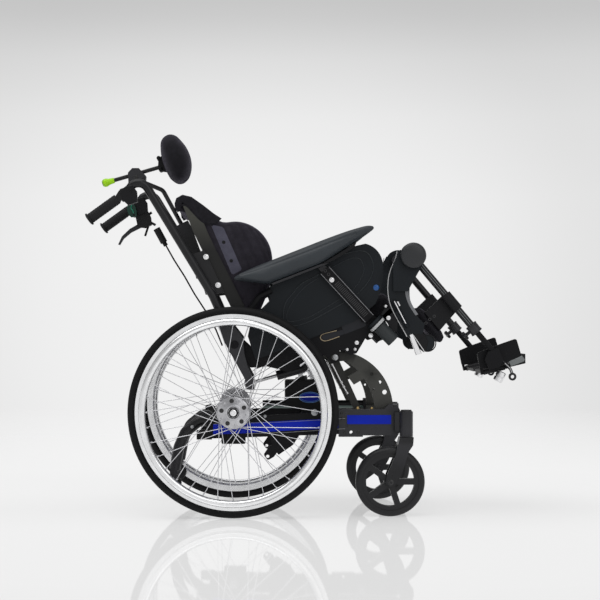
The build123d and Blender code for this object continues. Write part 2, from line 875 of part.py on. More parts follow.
with BuildPart() as arm_slide:
    bracket_top = armpad_bottom - sliding_fit
    bracket = [(-90, bracket_top - 6), (-90, bracket_top), (62, bracket_top), (84, bracket_top - 6)]
    add_plate(seat_outline(bracket), post_in, armpad_y + 18)
    middle = (post_in + post_out) / 2
    add_plate(
        post_outline(6, slide_length, slide_width / 2),
        middle - slide_depth / 2,
        middle + slide_depth / 2,
    )
save_pair(arm_slide.part, "arm_slide")

# ---------------------------------------------------------------- back
lever_foot = (-163.0, 379.0)
lever_bar_radius = 8.0
cane_route = [(-508, 953), (-478, 978), (-271, 637), (-222, 527)]
handle_pivot = (-522.0, 934.0)
cane_run = (cane_route[2][0] - cane_route[1][0], cane_route[2][1] - cane_route[1][1])
cane_slope_down = degrees(atan2(-cane_run[1], cane_run[0]))
with BuildPart() as back_canes:
    add_tube([at(p, cane_y) for p in cane_route], cane_radius, 31)
    lever = [
        (-257, 551),
        (-239, 506),
        (-209, 452),
        (-178, 396),
        (-176, 368),
        (-152, 366),
        (-150, 390),
        (-168, 425),
        (-180, 470),
        (-184, 516),
        (-228, 572),
    ]
    add_plate(lever, cane_y - lever_half, cane_y + lever_half, rounding=4)
    add_disc(handle_pivot, 13, cane_y - 6, cane_y + 6)
    add_plate([(-528, 944), (-512, 966), (-496, 950), (-514, 932)], cane_y - 6, cane_y + 6)
    hollow_start = on_line(cane_route[1], cane_slope_down, 60)
    hollow_end = on_line(cane_route[1], cane_slope_down, 392)
    add_bar(at(hollow_start, cane_y), at(hollow_end, cane_y), cane_radius - cane_wall, mode=Mode.SUBTRACT)
    add_disc(handle_pivot, 5 + running_fit, cane_y - 8, cane_y + 8, mode=Mode.SUBTRACT)
    add_disc(recline_pivot, 8 + running_fit, cane_y - 20, cane_y + 20, mode=Mode.SUBTRACT)
    mirror(about=Plane.XZ)
save(back_canes.part, "back_canes")

shell_rear = [(-360, 903), (-348, 872), (-328, 822), (-302, 768), (-262, 690), (-226, 618), (-196, 556)]
flange_depth = 41.0
shell_half = shell_width / 2
with BuildPart() as back_shell:
    rear_face = shell_rear + [(x + shell_wall * 1.15, z) for x, z in reversed(shell_rear)]
    add_plate(rear_face, -shell_half, shell_half)
    flange = shell_rear + [(x + flange_depth, z) for x, z in reversed(shell_rear)]
    add_plate(flange, shell_half - shell_wall, shell_half)
    add_plate(flange, -shell_half, -shell_half + shell_wall)
save(back_shell.part, "back_shell")

post_foot = (-328.0, 776.0)
post_bend = (-428.0, 960.0)
post_tip = (-486.0, 984.0)
headrest_post_radius = 6.5
with BuildPart() as back_bracket:
    cane_slope = cane_run[0] / cane_run[1]
    bracket_z = 700.0
    bracket_x = cane_route[2][0] + (bracket_z - cane_route[2][1]) * cane_slope
    reach = cane_y - cane_radius - 0.2
    add_bar((bracket_x, -reach, bracket_z), (bracket_x, reach, bracket_z), 11)
    receiver = [
        (-388, 850),
        (-352, 868),
        (-340, 846),
        (-318, 786),
        (-290, 722),
        (-294, 692),
        (-326, 692),
        (-352, 780),
    ]
    add_plate(receiver, -20, 20)
    add_bar(
        at(post_foot, 0),
        at(post_bend, 0),
        headrest_post_radius + sliding_fit,
        mode=Mode.SUBTRACT,
    )
    side_plate = [(-330, 758), (-296, 770), (-238, 646), (-292, 640)]
    for low in (shell_half, -shell_half - 10):
        add_plate(side_plate, low, low + 10)
    for bolt in ((-296, 750), (-258, 668)):
        add_disc(bolt, 6, shell_half + 10, shell_half + 14)
        add_disc(bolt, 6, -shell_half - 14, -shell_half - 10)
    lever_in = cane_y - lever_half
    add_bar(at(lever_foot, lever_in), at(lever_foot, -lever_in), lever_bar_radius)
save(back_bracket.part, "back_bracket")

cushion_half = shell_half - shell_wall - side_gap
wing_thickness = 52.0
wing_middle = (-215.0, 740.0)


with BuildPart() as back_cushion:
    slab_rear = [(x + shell_wall * 1.15 + side_gap, z) for x, z in shell_rear]
    with BuildSketch(side(0)) as slab:
        with BuildLine():
            Polyline(*slab_rear)
            Line(slab_rear[0], (-362, 908))
            ThreePointArc((-362, 908), (-352, 931), (-332, 924))
            Polyline(
                (-332, 924),
                (-290, 862),
                (-236, 760),
                (-186, 660),
                (-142, 566),
                (-136, 548),
                slab_rear[-1],
            )
        make_face()
    extrude(slab.sketch, amount=cushion_half - 10, both=True)
    with BuildSketch(side(0)) as roll:
        with BuildLine():
            Polyline((-340, 904.5), (-361.6, 904.5), (-350.9, 875), (-363, 876))
            ThreePointArc((-363, 876), (-378, 888), (-383, 908))
            ThreePointArc((-383, 908), (-376, 925), (-357, 933))
            Polyline((-357, 933), (-332, 926), (-340, 904.5))
        make_face()
    extrude(roll.sketch, amount=cushion_half, both=True)
    for hand in (1, -1):
        sections = []
        for inset, scale in ((0, 0.93), (14, 0.99), (wing_thickness - 14, 0.99), (wing_thickness, 0.93)):
            with BuildSketch(side(-hand * (cushion_half - inset))) as section:
                cx, cz = wing_middle
                points = [
                    (-358, 908),
                    (-352, 929),
                    (-330, 926),
                    (-272, 884),
                    (-242, 867),
                    (-205, 865),
                    (-122, 825),
                    (-88, 745),
                    (-96, 660),
                    (-130, 572),
                    (-182, 566),
                    (-286, 770),
                ]
                p = [(cx + (x - cx) * scale, cz + (z - cz) * scale) for x, z in points]
                with BuildLine():
                    ThreePointArc(p[0], p[1], p[2])
                    Line(p[2], p[3])
                    ThreePointArc(p[3], p[4], p[5])
                    ThreePointArc(p[5], p[6], p[7])
                    ThreePointArc(p[7], p[8], p[9])
                    Line(p[9], p[10])
                    Line(p[10], p[11])
                    Line(p[11], p[0])
                make_face()
            sections.append(section.sketch)
        loft(sections, ruled=True)
save(back_cushion.part, "back_cushion")

# ---------------------------------------------------------------- recline gas spring
spring_way = Vector(lever_foot[0] - spring_seat_pin[0], 0, lever_foot[1] - spring_seat_pin[1])
spring_length = spring_way.length
spring_way = spring_way.normalized()


def on_spring(distance):
    """The point this far along the recline gas spring, from the seat towards the lever."""
    place = Vector(spring_seat_pin[0], -spring_y, spring_seat_pin[1]) + spring_way * distance
    return (place.X, place.Y, place.Z)


spring_rod_radius = 5.0
with BuildPart() as recline_cylinder:
    add_bar(on_spring(8), on_spring(98), 14)
    add_disc(spring_seat_pin, 12, spring_y - 14, spring_y + 14)
    add_bar(on_spring(15), on_spring(100), spring_rod_radius + running_fit, mode=Mode.SUBTRACT)
    add_disc(
        spring_seat_pin,
        spring_pin_radius + running_fit,
        spring_y - 20,
        spring_y + 20,
        mode=Mode.SUBTRACT,
    )
save(recline_cylinder.part, "recline_cylinder")

spring_eye_bore = lever_bar_radius + 6.5
with BuildPart() as recline_rod:
    add_bar(on_spring(78), on_spring(spring_length - spring_eye_bore - 2), spring_rod_radius)
    add_disc(lever_foot, spring_eye_bore + 4, spring_y - 5, spring_y + 5)
    add_disc(lever_foot, spring_eye_bore, spring_y - 8, spring_y + 8, mode=Mode.SUBTRACT)
save(recline_rod.part, "recline_rod")

# ---------------------------------------------------------------- headrest
bar_slope = -16.3
bar_middle = (-505.0, 1010.5)
bar_radius = 6.0
bar_tail = -102.0
bar_head = 70.0
cap_profile = [(0, 7.5), (16, 9.0), (24, 12.0), (31, 11.5), (36, 7.5)]
cap_grip = 28.0
head_pivot = on_line(bar_middle, bar_slope, bar_head + 6)
with BuildPart() as headrest_post:
    add_tube([at(post_foot, 0), at(post_bend, 0), at(post_tip, 0)], headrest_post_radius, 24)
    add_plate(
        [(-531, 976), (-533, 1012), (-520, 1026), (-500, 1026), (-478, 1002), (-480, 974)],
        -16,
        16,
        rounding=3,
    )
    add_bar(
        at(on_line(bar_middle, bar_slope, -50), 0),
        at(on_line(bar_middle, bar_slope, 50), 0),
        bar_radius + running_fit,
        mode=Mode.SUBTRACT,
    )
    add_bar((-512, 16, 1000), (-512, 30, 1000), 12)
save(headrest_post.part, "headrest_post")

with BuildPart() as headrest_bar:
    add_bar(
        at(on_line(bar_middle, bar_slope, bar_tail), 0),
        at(on_line(bar_middle, bar_slope, bar_head), 0),
        bar_radius,
    )
    cap_way = Vector(*at(on_line(bar_middle, bar_slope, -1), 0)) - Vector(*at(bar_middle, 0))
    for distance, radius in cap_profile:
        station = at(on_line(bar_middle, bar_slope, bar_tail + cap_grip - distance), 0)
        with BuildSketch(Plane(origin=station, z_dir=cap_way)):
            Circle(radius)
    loft(ruled=True)
    add_disc(head_pivot, 10, -7, 7)
    add_disc(head_pivot, 4, -15, 15)
save(headrest_bar.part, "headrest_bar")

head_middle = (-388.0, 1052.0)
with BuildPart() as headrest_pad:
    sections = []
    for y, scale in ((-128, 0.62), (-104, 0.9), (-60, 1.0), (60, 1.0), (104, 0.9), (128, 0.62)):
        cx, cz = head_middle
        points = [
            (-436, 1100),
            (-424, 1040),
            (-398, 986),
            (-380, 977),
            (-360, 986),
            (-341, 1046),
            (-372, 1108),
            (-408, 1127),
        ]
        p = [(cx + (x - cx) * scale, cz + (z - cz) * scale) for x, z in points]
        with BuildSketch(side(y)) as section:
            with BuildLine():
                ThreePointArc(p[0], p[1], p[2])
                ThreePointArc(p[2], p[3], p[4])
                ThreePointArc(p[4], p[5], p[6])
                ThreePointArc(p[6], p[7], p[0])
            make_face()
        sections.append(section.sketch)
    loft(sections, ruled=True)
    for low in (8.5, -14.5):
        hinge_ear = [(-440, 1022), (-442, 1046), (-420, 1060), (-404, 1040), (-412, 1022)]
        add_plate(hinge_ear, low, low + 6)
    add_disc(head_pivot, 13, -8, 8, mode=Mode.SUBTRACT)
    add_disc(head_pivot, 4 + running_fit, -16, 16, mode=Mode.SUBTRACT)
save(headrest_pad.part, "headrest_pad")

# ---------------------------------------------------------------- push handles
handle_slope = 36.0
grip_radius = 15.0
grip_start = 30.0
grip_end = 132.0
cheek_thickness = 7.5
hinge_half = 6.0
control_half = 11.0
brake_pivot = (-508.0, 868.0)
brake_pin_radius = 4.0
brake_half = 5.0
trigger_pivot = (-531.0, 899.0)
trigger_pin_radius = 3.0
trigger_thickness = 7.0
trigger_face = -cane_y + grip_radius + side_gap


def on_handle(distance):
    """The point this far back along the push handle."""
    return at(on_line(handle_pivot, 180 - handle_slope, distance), cane_y)


with BuildPart() as handle_frame:
    cheek = [(-508, 928), (-516, 952), (-538, 944), (-548, 922), (-530, 908)]
    cheek_reach = hinge_half + side_gap / 2
    for low in (cheek_reach, -cheek_reach - cheek_thickness):
        add_plate(cheek, cane_y + low, cane_y + low + cheek_thickness)
    cheek_half = cheek_reach + cheek_thickness
    add_plate([(-538, 906), (-552, 922), (-541, 940), (-534, 926)], cane_y - cheek_half, cane_y + cheek_half)
    add_bar(on_handle(22), on_handle(grip_end - 4), 10)
    add_disc(handle_pivot, 13 + side_gap, cane_y - cheek_reach, cane_y + cheek_reach, mode=Mode.SUBTRACT)
    add_disc(handle_pivot, 5, cane_y - cheek_half, cane_y + cheek_half)
with BuildPart() as hand_grip:
    add_bar(on_handle(grip_start), on_handle(grip_end), grip_radius)
    add_bar(on_handle(grip_end - 5), on_handle(grip_end), grip_radius + 4)
    add_bar(on_handle(grip_start - 1), on_handle(grip_end - 4), 10 + running_fit, mode=Mode.SUBTRACT)
save(Compound(children=[handle_frame.part, hand_grip.part]), "push_handle_right")

with BuildPart() as control_housing:
    block = [
        (-530, 912),
        (-512, 922),
        (-490, 916),
        (-478, 892),
        (-476, 868),
        (-496, 858),
        (-520, 862),
        (-526, 890),
    ]
    add_plate(block, -cane_y - control_half, -cane_y + control_half)
    mouth = [(-560, 852), (-560, 884), (-494, 884), (-494, 840)]
    add_plate(
        mouth,
        -cane_y - brake_half - side_gap / 2,
        -cane_y + brake_half + side_gap / 2,
        mode=Mode.SUBTRACT,
    )
    add_disc(brake_pivot, brake_pin_radius, -cane_y - control_half, -cane_y + control_half)
    add_disc(trigger_pivot, 7, -cane_y - control_half, trigger_face - side_gap / 2)
    add_disc(trigger_pivot, trigger_pin_radius, trigger_face - 2, trigger_face + trigger_thickness + 2)
    add_bar((-486, cane_y, 901), (-476, cane_y, 908.5), 4)
    add_bar((-479, cane_y, 876), (-464, cane_y, 868), 4)
    add_bar((-487, cane_y, 864), (-497, cane_y, 833), 3.5)
with BuildPart() as left_handle:
    add(mirror(handle_frame.part, about=Plane.XZ))
    add(control_housing.part)
save(Compound(children=[left_handle.part, mirror(hand_grip.part, about=Plane.XZ)]), "push_handle_left")

with BuildPart() as brake_lever:
    blade = [
        (-500, 862),
        (-508, 877),
        (-545, 856),
        (-570, 832),
        (-582, 806),
        (-576, 804),
        (-564, 824),
        (-540, 844),
        (-512, 858),
    ]
    add_plate(blade, -cane_y - brake_half, -cane_y + brake_half)
    add_disc(brake_pivot, 9, -cane_y - brake_half, -cane_y + brake_half)
    add_disc(
        brake_pivot,
        brake_pin_radius + running_fit,
        -cane_y - brake_half - 3,
        -cane_y + brake_half + 3,
        mode=Mode.SUBTRACT,
    )
save(brake_lever.part, "brake_lever")

with BuildPart() as release_trigger:
    with BuildSketch(side(-(trigger_face + trigger_thickness / 2))) as leaf:
        with BuildLine():
            outer = ThreePointArc((-523, 893), (-527, 925), (-541, 946))
            inner = ThreePointArc((-541, 946), (-552, 925), (-539, 891))
            Line(inner @ 1, outer @ 0)
        make_face()
    extrude(leaf.sketch, amount=trigger_thickness / 2, both=True)
    add_disc(
        trigger_pivot,
        trigger_pin_radius + running_fit,
        trigger_face - 2,
        trigger_face + trigger_thickness + 2,
        mode=Mode.SUBTRACT,
    )
save(release_trigger.part, "release_trigger")

# ---------------------------------------------------------------- brake cable
cable_radius = 2.5
cable_y = cane_y - cane_radius - cable_radius - 0.3
adjuster_start = (-460.0, 856.0)
adjuster_end = (-436.0, 812.0)
cable_route = [(-430, 802), (-404, 756), (-372, 706), (-341, 651), (-306, 597), (-272, 536), (-252, 486)]
with BuildPart() as cable_adjuster:
    add_bar((adjuster_start[0], cable_y, adjuster_start[1]), (adjuster_end[0], cable_y, adjuster_end[1]), 11)
    add_bar((adjuster_end[0], cable_y, adjuster_end[1]), (cable_route[0][0], cable_y, cable_route[0][1]), 7)
with BuildPart() as cable_housing:
    add_tube([(x, cable_y, z) for x, z in cable_route], cable_radius, 60)
save(Compound(children=[cable_adjuster.part, cable_housing.part]), "brake_cable")

# ---------------------------------------------------------------- legrests
leg_start = 42.0
swing_hub_top = -38.0
hanger_in = leg_y - hanger_thickness / 2
hanger_out = leg_y + hanger_thickness / 2
cheek_in = hanger_out + 2
cheek_out = cheek_in + 8
with BuildPart() as legrest_hanger:
    with BuildSketch(side(-leg_y)) as blade:
        with BuildLine():
            back_edge = ThreePointArc((252, 728), (234, 682), (238, 634))
            Polyline(back_edge @ 1, (292, 518), (330, 500))
            Line((330, 500), (342, 556))
            front_edge = ThreePointArc((342, 556), (298, 640), (306, 690))
            Line(front_edge @ 1, back_edge @ 0)
        make_face()
    extrude(blade.sketch, amount=hanger_thickness / 2, both=True)
    add_plate([(250, 650), (250, 712), (292, 690), (292, 650)], hanger_out - 2, cheek_in + 1)
    add_plate([(250, 650), (250, 730), (270, 770), (340, 735), (320, 700), (292, 650)], cheek_in, cheek_out)
    add_disc(knee, knee_radius, cheek_in, cheek_out + 6)
    add_disc(knee, knee_pin_radius, hanger_in - 10, cheek_in + 2)
    add_disc((346, 500), 25, leg_y - 2, hanger_out - 1)
    add_bar(at((252, 623), hanger_out + 5), at((292, 547), hanger_out + 5), 5.5)
    add_plate([(268, 566), (256, 590), (270, 600), (284, 574)], hanger_out - 2, hanger_out + 5)
    add_bar(on_socket(swing_hub_top), on_socket(socket_top - side_gap), socket_radius)
    add_bar(on_socket(swing_hub_top - 7), on_socket(swing_hub_top), 24.5)
    add_bar(on_socket(swing_hub_top), on_socket(30), swing_pin_radius)
    arm = [
        on_line(socket_centre, socket_slope, d, lift)
        for d, lift in ((-38, 4), (-38, 62), (-24.5, 76), (-24.5, 4))
    ]
    add_plate(arm, leg_y - 8, leg_y + 8)
save_pair(legrest_hanger.part, "legrest_hanger")


def on_leg(distance, lift=0.0, y=leg_y):
    """The point this far down the leg tube from the knee, and lift in front of it."""
    return at(on_line(knee, leg_slope, distance, lift), y)


def leg_outline(points):
    """An outline given down the leg and in front of it."""
    return [on_line(knee, leg_slope, distance, lift) for distance, lift in points]


knuckle_radius = 22.0
with BuildPart() as leg_tube:
    add_bar(on_leg(12), on_leg(leg_tube_length), leg_tube_radius)
    add_bar(on_leg(leg_tube_length - 26), on_leg(leg_tube_length), leg_tube_radius + 6)
    add_disc(knee, knuckle_radius, hanger_in - 6, hanger_out - 2)
    add_bar(
        on_leg(knuckle_radius + 6),
        on_leg(leg_tube_length + 1),
        foot_tube_radius + running_fit,
        mode=Mode.SUBTRACT,
    )
    add_disc(knee, knee_pin_radius + running_fit, hanger_in - 20, hanger_out + 20, mode=Mode.SUBTRACT)
save_pair(leg_tube.part, "leg_tube")

calf_centre = 176.0
with BuildPart() as calf_pad:
    add_bar(
        on_leg(calf_centre - 28),
        on_leg(calf_centre + 28),
        leg_tube_radius + 5,
        bore=leg_tube_radius + running_fit,
    )
    arm_low = leg_y - 38
    arm_high = leg_y - 13.5
    bracket = leg_outline(
        [(calf_centre - 30, 0), (calf_centre + 30, 0), (calf_centre + 42, -78), (calf_centre - 26, -78)],
    )
    add_plate(bracket, arm_low, arm_high)
    add_plate(
        leg_outline(
            [
                (calf_centre - 26, 8),
                (calf_centre + 26, 8),
                (calf_centre + 26, -10),
                (calf_centre - 26, -10),
            ],
        ),
        arm_high - 4,
        leg_y - 6,
    )
    add_bar(
        on_leg(calf_centre - 29),
        on_leg(calf_centre + 29),
        leg_tube_radius + running_fit,
        mode=Mode.SUBTRACT,
    )
with BuildPart() as calf_cushion:
    pad_low = 62.0
    for low, high, near_edge, far_edge, half in (
        (pad_low, arm_high, -78, -88, 60),
        (pad_low, arm_high, -88, -104, 66),
    ):
        outline = [
            (calf_centre + 8 - half, near_edge),
            (calf_centre + 8 + half, near_edge),
            (calf_centre + 8 + half, far_edge),
            (calf_centre + 8 - half, far_edge),
        ]
        add_plate(leg_outline(outline), low, high)
save_pair(Compound(children=[calf_pad.part, calf_cushion.part]), "calf_pad")

plate_slope = -13.5
plate_rear = (476.0, 405.0)
foot_bracket_front = (560.0, 430.0)
with BuildPart() as foot_tube:
    add_bar(on_leg(130), on_leg(foot_reach), foot_tube_radius)
    add_plate(
        [(526, 474), (556, 486), (570, 452), (560, 430), (530, 422), (516, 452)],
        leg_y - 14,
        leg_y + 10,
        rounding=4,
    )
    ankle = [(497, 470), (540, 488), (612, 513), (627, 462), (594, 446), (556, 430), (506, 424)]
    add_plate(ankle, leg_y - 25, leg_y - 14, rounding=6)
    hinge_rear = on_line(plate_rear, plate_slope, 40)
    hinge_front = on_line(plate_rear, plate_slope, 110)
    add_bar(at(hinge_rear, plate_pivot_y), at(hinge_front, plate_pivot_y), 5)
    for distance in (34, 108):
        block = ((distance, -6), (distance, 6), (distance + 8, 6), (distance + 8, -6))
        add_plate(
            [on_line(plate_rear, plate_slope, d, lift) for d, lift in block],
            plate_pivot_y - 6,
            leg_y - 20,
        )
        riser = ((distance, -6), (distance, 34), (distance + 8, 34), (distance + 8, -6))
        add_plate([on_line(plate_rear, plate_slope, d, lift) for d, lift in riser], leg_y - 25, leg_y - 20)
save_pair(foot_tube.part, "foot_tube")

with BuildPart() as footplate:
    toe = footplate_heel + footplate_length
    board = [
        (footplate_heel, -5),
        (footplate_heel, 4),
        (toe, 4),
        (toe + 6, 24),
        (toe + 12, 22),
        (toe + 6, -5),
    ]
    outline = [on_line(plate_rear, plate_slope, d, lift) for d, lift in board]
    add_plate(outline, footplate_gap, footplate_out)
    knuckle_start = on_line(plate_rear, plate_slope, 43)
    knuckle_end = on_line(plate_rear, plate_slope, 107)
    add_bar(at(knuckle_start, plate_pivot_y), at(knuckle_end, plate_pivot_y), 9)
    tongue = [
        on_line(plate_rear, plate_slope, d, lift)
        for d, lift in ((43, -5), (43, 4), (107, 4), (107, -5))
    ]
    add_plate(tongue, plate_pivot_y - 12, plate_pivot_y)
    add_bar(
        at(hinge_rear, plate_pivot_y),
        at(hinge_front, plate_pivot_y),
        5 + running_fit,
        mode=Mode.SUBTRACT,
    )
save_pair(footplate.part, "footplate")
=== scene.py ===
import bpy
import bmesh
import json
import math
import numpy as np
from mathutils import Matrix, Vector, kdtree


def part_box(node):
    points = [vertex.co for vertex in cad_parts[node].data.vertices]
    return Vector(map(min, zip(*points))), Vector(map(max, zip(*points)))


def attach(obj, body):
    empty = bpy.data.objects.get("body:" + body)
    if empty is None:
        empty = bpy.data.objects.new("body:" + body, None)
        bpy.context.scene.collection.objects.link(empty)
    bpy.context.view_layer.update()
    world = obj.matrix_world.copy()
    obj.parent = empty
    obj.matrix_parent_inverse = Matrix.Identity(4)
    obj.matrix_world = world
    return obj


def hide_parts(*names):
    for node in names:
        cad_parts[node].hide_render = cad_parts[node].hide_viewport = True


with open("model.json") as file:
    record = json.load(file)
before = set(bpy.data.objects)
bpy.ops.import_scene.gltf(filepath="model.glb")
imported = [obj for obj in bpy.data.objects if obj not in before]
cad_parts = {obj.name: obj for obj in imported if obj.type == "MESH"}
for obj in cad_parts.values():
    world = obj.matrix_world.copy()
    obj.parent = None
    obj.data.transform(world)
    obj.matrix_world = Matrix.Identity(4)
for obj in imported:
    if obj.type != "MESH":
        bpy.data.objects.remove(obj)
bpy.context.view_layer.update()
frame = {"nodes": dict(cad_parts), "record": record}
nodes = frame["nodes"]
scene = bpy.context.scene
scene.view_settings.view_transform = "Standard"
SIDES = {"right": 1, "left": -1}
MM = 1000.0
HUB = (-211.0, 302.5)
TILT = (80.0, 458.0)
SEAT_RISE = -21.3

# ---- camera
FOCAL_PX = 1682.6
IMAGE_PX = 600
SENSOR = 36.0
cam_data = bpy.data.cameras.new("camera")
cam_data.sensor_width = SENSOR
cam_data.lens = FOCAL_PX / IMAGE_PX * SENSOR
camera = bpy.data.objects.new("camera", cam_data)
scene.collection.objects.link(camera)
camera.location = (-0.152, -5.104, 0.564)
camera.rotation_euler = (math.radians(90 + 0.715), 0, math.radians(-1.566))
scene.camera = camera

# ---- world, lamps, floor
world = bpy.data.worlds.new("studio")
scene.world = world
world.use_nodes = True
world.node_tree.nodes.clear()
new, join = world.node_tree.nodes.new, world.node_tree.links.new

coord = new("ShaderNodeTexCoord")
split = new("ShaderNodeSeparateXYZ")
join(coord.outputs["Generated"], split.inputs[0])
ramp = new("ShaderNodeValToRGB")
join(split.outputs["Z"], ramp.inputs[0])
SKY = [
    (0.0, 0.88), (0.072, 0.895), (0.119, 0.86), (0.154, 0.78), (0.178, 0.67), (0.2, 0.62), (0.45, 0.5),
    (1.0, 0.5),
]
stops = ramp.color_ramp.elements
for place, level in SKY:
    if place in (0.0, 1.0):
        stop = stops[0 if place == 0.0 else -1]
        stop.position = place
    else:
        stop = stops.new(place)
    stop.color = (level, level, level, 1)
side_map = new("ShaderNodeMapRange")
side_map.interpolation_type = "SMOOTHSTEP"
for k, v in (("From Min", 0.975), ("From Max", 1.0), ("To Min", 0.86), ("To Max", 1.0)):
    side_map.inputs[k].default_value = v
aside = new("ShaderNodeMath")
aside.operation = "ABSOLUTE"
join(split.outputs["Y"], aside.inputs[0])
join(aside.outputs[0], side_map.inputs["Value"])
shade = new("ShaderNodeVectorMath")
shade.operation = "SCALE"
join(ramp.outputs["Color"], shade.inputs[0])
join(side_map.outputs["Result"], shade.inputs["Scale"])
seen = new("ShaderNodeBackground")
join(shade.outputs[0], seen.inputs["Color"])
fill = new("ShaderNodeBackground")
fill.inputs["Color"].default_value = (1.0, 1.0, 1.0, 1)
fill.inputs["Strength"].default_value = 0.55
rays = new("ShaderNodeLightPath")
direct = rays.outputs["Is Camera Ray"]
for kind in ("Is Glossy Ray", "Is Transmission Ray"):
    either = new("ShaderNodeMath")
    either.operation = "MAXIMUM"
    join(direct, either.inputs[0])
    join(rays.outputs[kind], either.inputs[1])
    direct = either.outputs[0]
mixed = new("ShaderNodeMixShader")
join(direct, mixed.inputs[0])
join(fill.outputs[0], mixed.inputs[1])
join(seen.outputs[0], mixed.inputs[2])
join(mixed.outputs[0], new("ShaderNodeOutputWorld").inputs[0])


def sun(name, direction, strength, angle):
    """A soft lamp far away; direction points from the object to the lamp."""
    data = bpy.data.lights.new(name, "SUN")
    data.energy = strength
    data.angle = math.radians(angle)
    obj = bpy.data.objects.new(name, data)
    scene.collection.objects.link(obj)
    obj.rotation_euler = Vector(direction).to_track_quat("Z", "Y").to_euler()


sun("top_lamp", (-0.25, -0.15, 1.0), 1.25, 55)
sun("front_lamp", (0.5, -1.0, 0.7), 0.45, 40)

floor_mesh = bpy.data.meshes.new("floor")
REACH = 60.0
corners = [(-REACH, -REACH, 0), (REACH, -REACH, 0), (REACH, REACH, 0), (-REACH, REACH, 0)]
floor_mesh.from_pydata(corners, [], [(0, 1, 2, 3)])
floor = bpy.data.objects.new("floor", floor_mesh)
scene.collection.objects.link(floor)
floor.location.z = -0.0005


# ---- material helpers
class Mat:
    """A procedural material: a Principled shader with a few helpers for its nodes."""

    def __init__(self, name, colour, rough=0.5, metal=0.0, spec=0.5):
        self.m = bpy.data.materials.new(name)
        self.m.use_nodes = True
        self.t = self.m.node_tree
        self.t.nodes.clear()
        self.p = self.node("ShaderNodeBsdfPrincipled")
        self.p.inputs["Base Color"].default_value = tuple(colour) + (1,)
        self.p.inputs["Roughness"].default_value = rough
        self.p.inputs["Metallic"].default_value = metal
        self.p.inputs["Specular IOR Level"].default_value = spec
        self.colour = tuple(colour) + (1,)
        self.rough = rough
        self.out = self.node("ShaderNodeOutputMaterial")
        self.link(self.p.outputs[0], self.out.inputs[0])
        self.co = self.node("ShaderNodeTexCoord").outputs["Object"]
        self.normal = None
        self.m.diffuse_color = self.colour

    def node(self, kind, **props):
        n = self.t.nodes.new(kind)
        for k, v in props.items():
            setattr(n, k, v)
        return n

    def link(self, a, b):
        self.t.links.new(a, b)

    def feed(self, values, sockets):
        """Gives each socket a number or the output of another node."""
        for value, socket in zip(values, sockets):
            if isinstance(value, (int, float)):
                socket.default_value = value
            else:
                self.link(value, socket)

    def math(self, op, *values):
        n = self.node("ShaderNodeMath", operation=op)
        self.feed(values, n.inputs)
        return n.outputs[0]

    def mix_shaders(self, part, a, b):
        n = self.node("ShaderNodeMixShader")
        self.feed((part, a, b), n.inputs)
        return n.outputs[0]

    def noise(self, scale, detail=3.0, rough=0.5, distortion=0.0, co=None):
        n = self.node("ShaderNodeTexNoise")
        n.inputs["Scale"].default_value = scale
        n.inputs["Detail"].default_value = detail
        n.inputs["Roughness"].default_value = rough
        n.inputs["Distortion"].default_value = distortion
        self.link(co or self.co, n.inputs["Vector"])
        return n.outputs[0]

    def stretch(self, x, y, z, co=None):
        n = self.node("ShaderNodeVectorMath", operation="MULTIPLY")
        self.link(co or self.co, n.inputs[0])
        n.inputs[1].default_value = (x, y, z)
        return n.outputs[0]

    def remap(self, value, lo, hi, a=0.0, b=1.0):
        n = self.node("ShaderNodeMapRange")
        n.inputs["From Min"].default_value = lo
        n.inputs["From Max"].default_value = hi
        n.inputs["To Min"].default_value = a
        n.inputs["To Max"].default_value = b
        self.link(value, n.inputs["Value"])
        return n.outputs[0]

    def tint(self, value, low, high):
        """Runs from one shade to another by a 0 to 1 value; the low one may be a socket."""
        n = self.node("ShaderNodeMix", data_type="RGBA")
        self.link(value, n.inputs["Factor"])
        if isinstance(low, tuple):
            n.inputs["A"].default_value = low + (1,)
        else:
            self.link(low, n.inputs["A"])
        n.inputs["B"].default_value = high + (1,)
        return n.outputs["Result"]

    def axis(self, name):
        """One coordinate of the piece's own space."""
        n = self.node("ShaderNodeSeparateXYZ")
        self.link(self.co, n.inputs[0])
        return n.outputs[name]

    def base(self, socket):
        self.link(socket, self.p.inputs["Base Color"])

    def roughness(self, value, spread):
        dull = self.remap(value, 0.25, 0.75, self.rough - spread, self.rough + spread)
        self.link(dull, self.p.inputs["Roughness"])

    def bump(self, height, distance, strength=1.0):
        n = self.node("ShaderNodeBump")
        n.inputs["Strength"].default_value = strength
        n.inputs["Distance"].default_value = distance
        self.link(height, n.inputs["Height"])
        if self.normal is not None:
            self.link(self.normal, n.inputs["Normal"])
        self.normal = n.outputs[0]
        self.link(self.normal, self.p.inputs["Normal"])

    def set(self, **sockets):
        for k, v in sockets.items():
            self.p.inputs[k.replace("_", " ")].default_value = v


def shade_of(c, f):
    return tuple(min(1.0, x * f) for x in c)


def painted(name, colour, rough=0.38, spec=0.35, grain=0.00004, wear_and_highlight=0.5):
    """Powder coat: fine orange peel, a little dust in the colour, and paler edges that are partly rubbed paint
    and partly a painted highlight.
    """
    m = Mat(name, colour, rough, 0.0, spec)
    cloud = m.noise(14, 4)
    fine = m.noise(1500, 2)
    geo = m.node("ShaderNodeNewGeometry")
    # Sharp edges turn paler: partly rubbed paint, partly a painted highlight along the edges.
    edge = m.remap(geo.outputs["Pointiness"], 0.53, 0.62, 0.0, wear_and_highlight)
    shade = m.tint(m.remap(cloud, 0.3, 0.7), shade_of(colour, 0.8), shade_of(colour, 1.25))
    m.base(m.tint(edge, shade, shade_of(colour, 4.0)))
    m.roughness(cloud, 0.07)
    m.bump(fine, grain, 0.6)
    return m


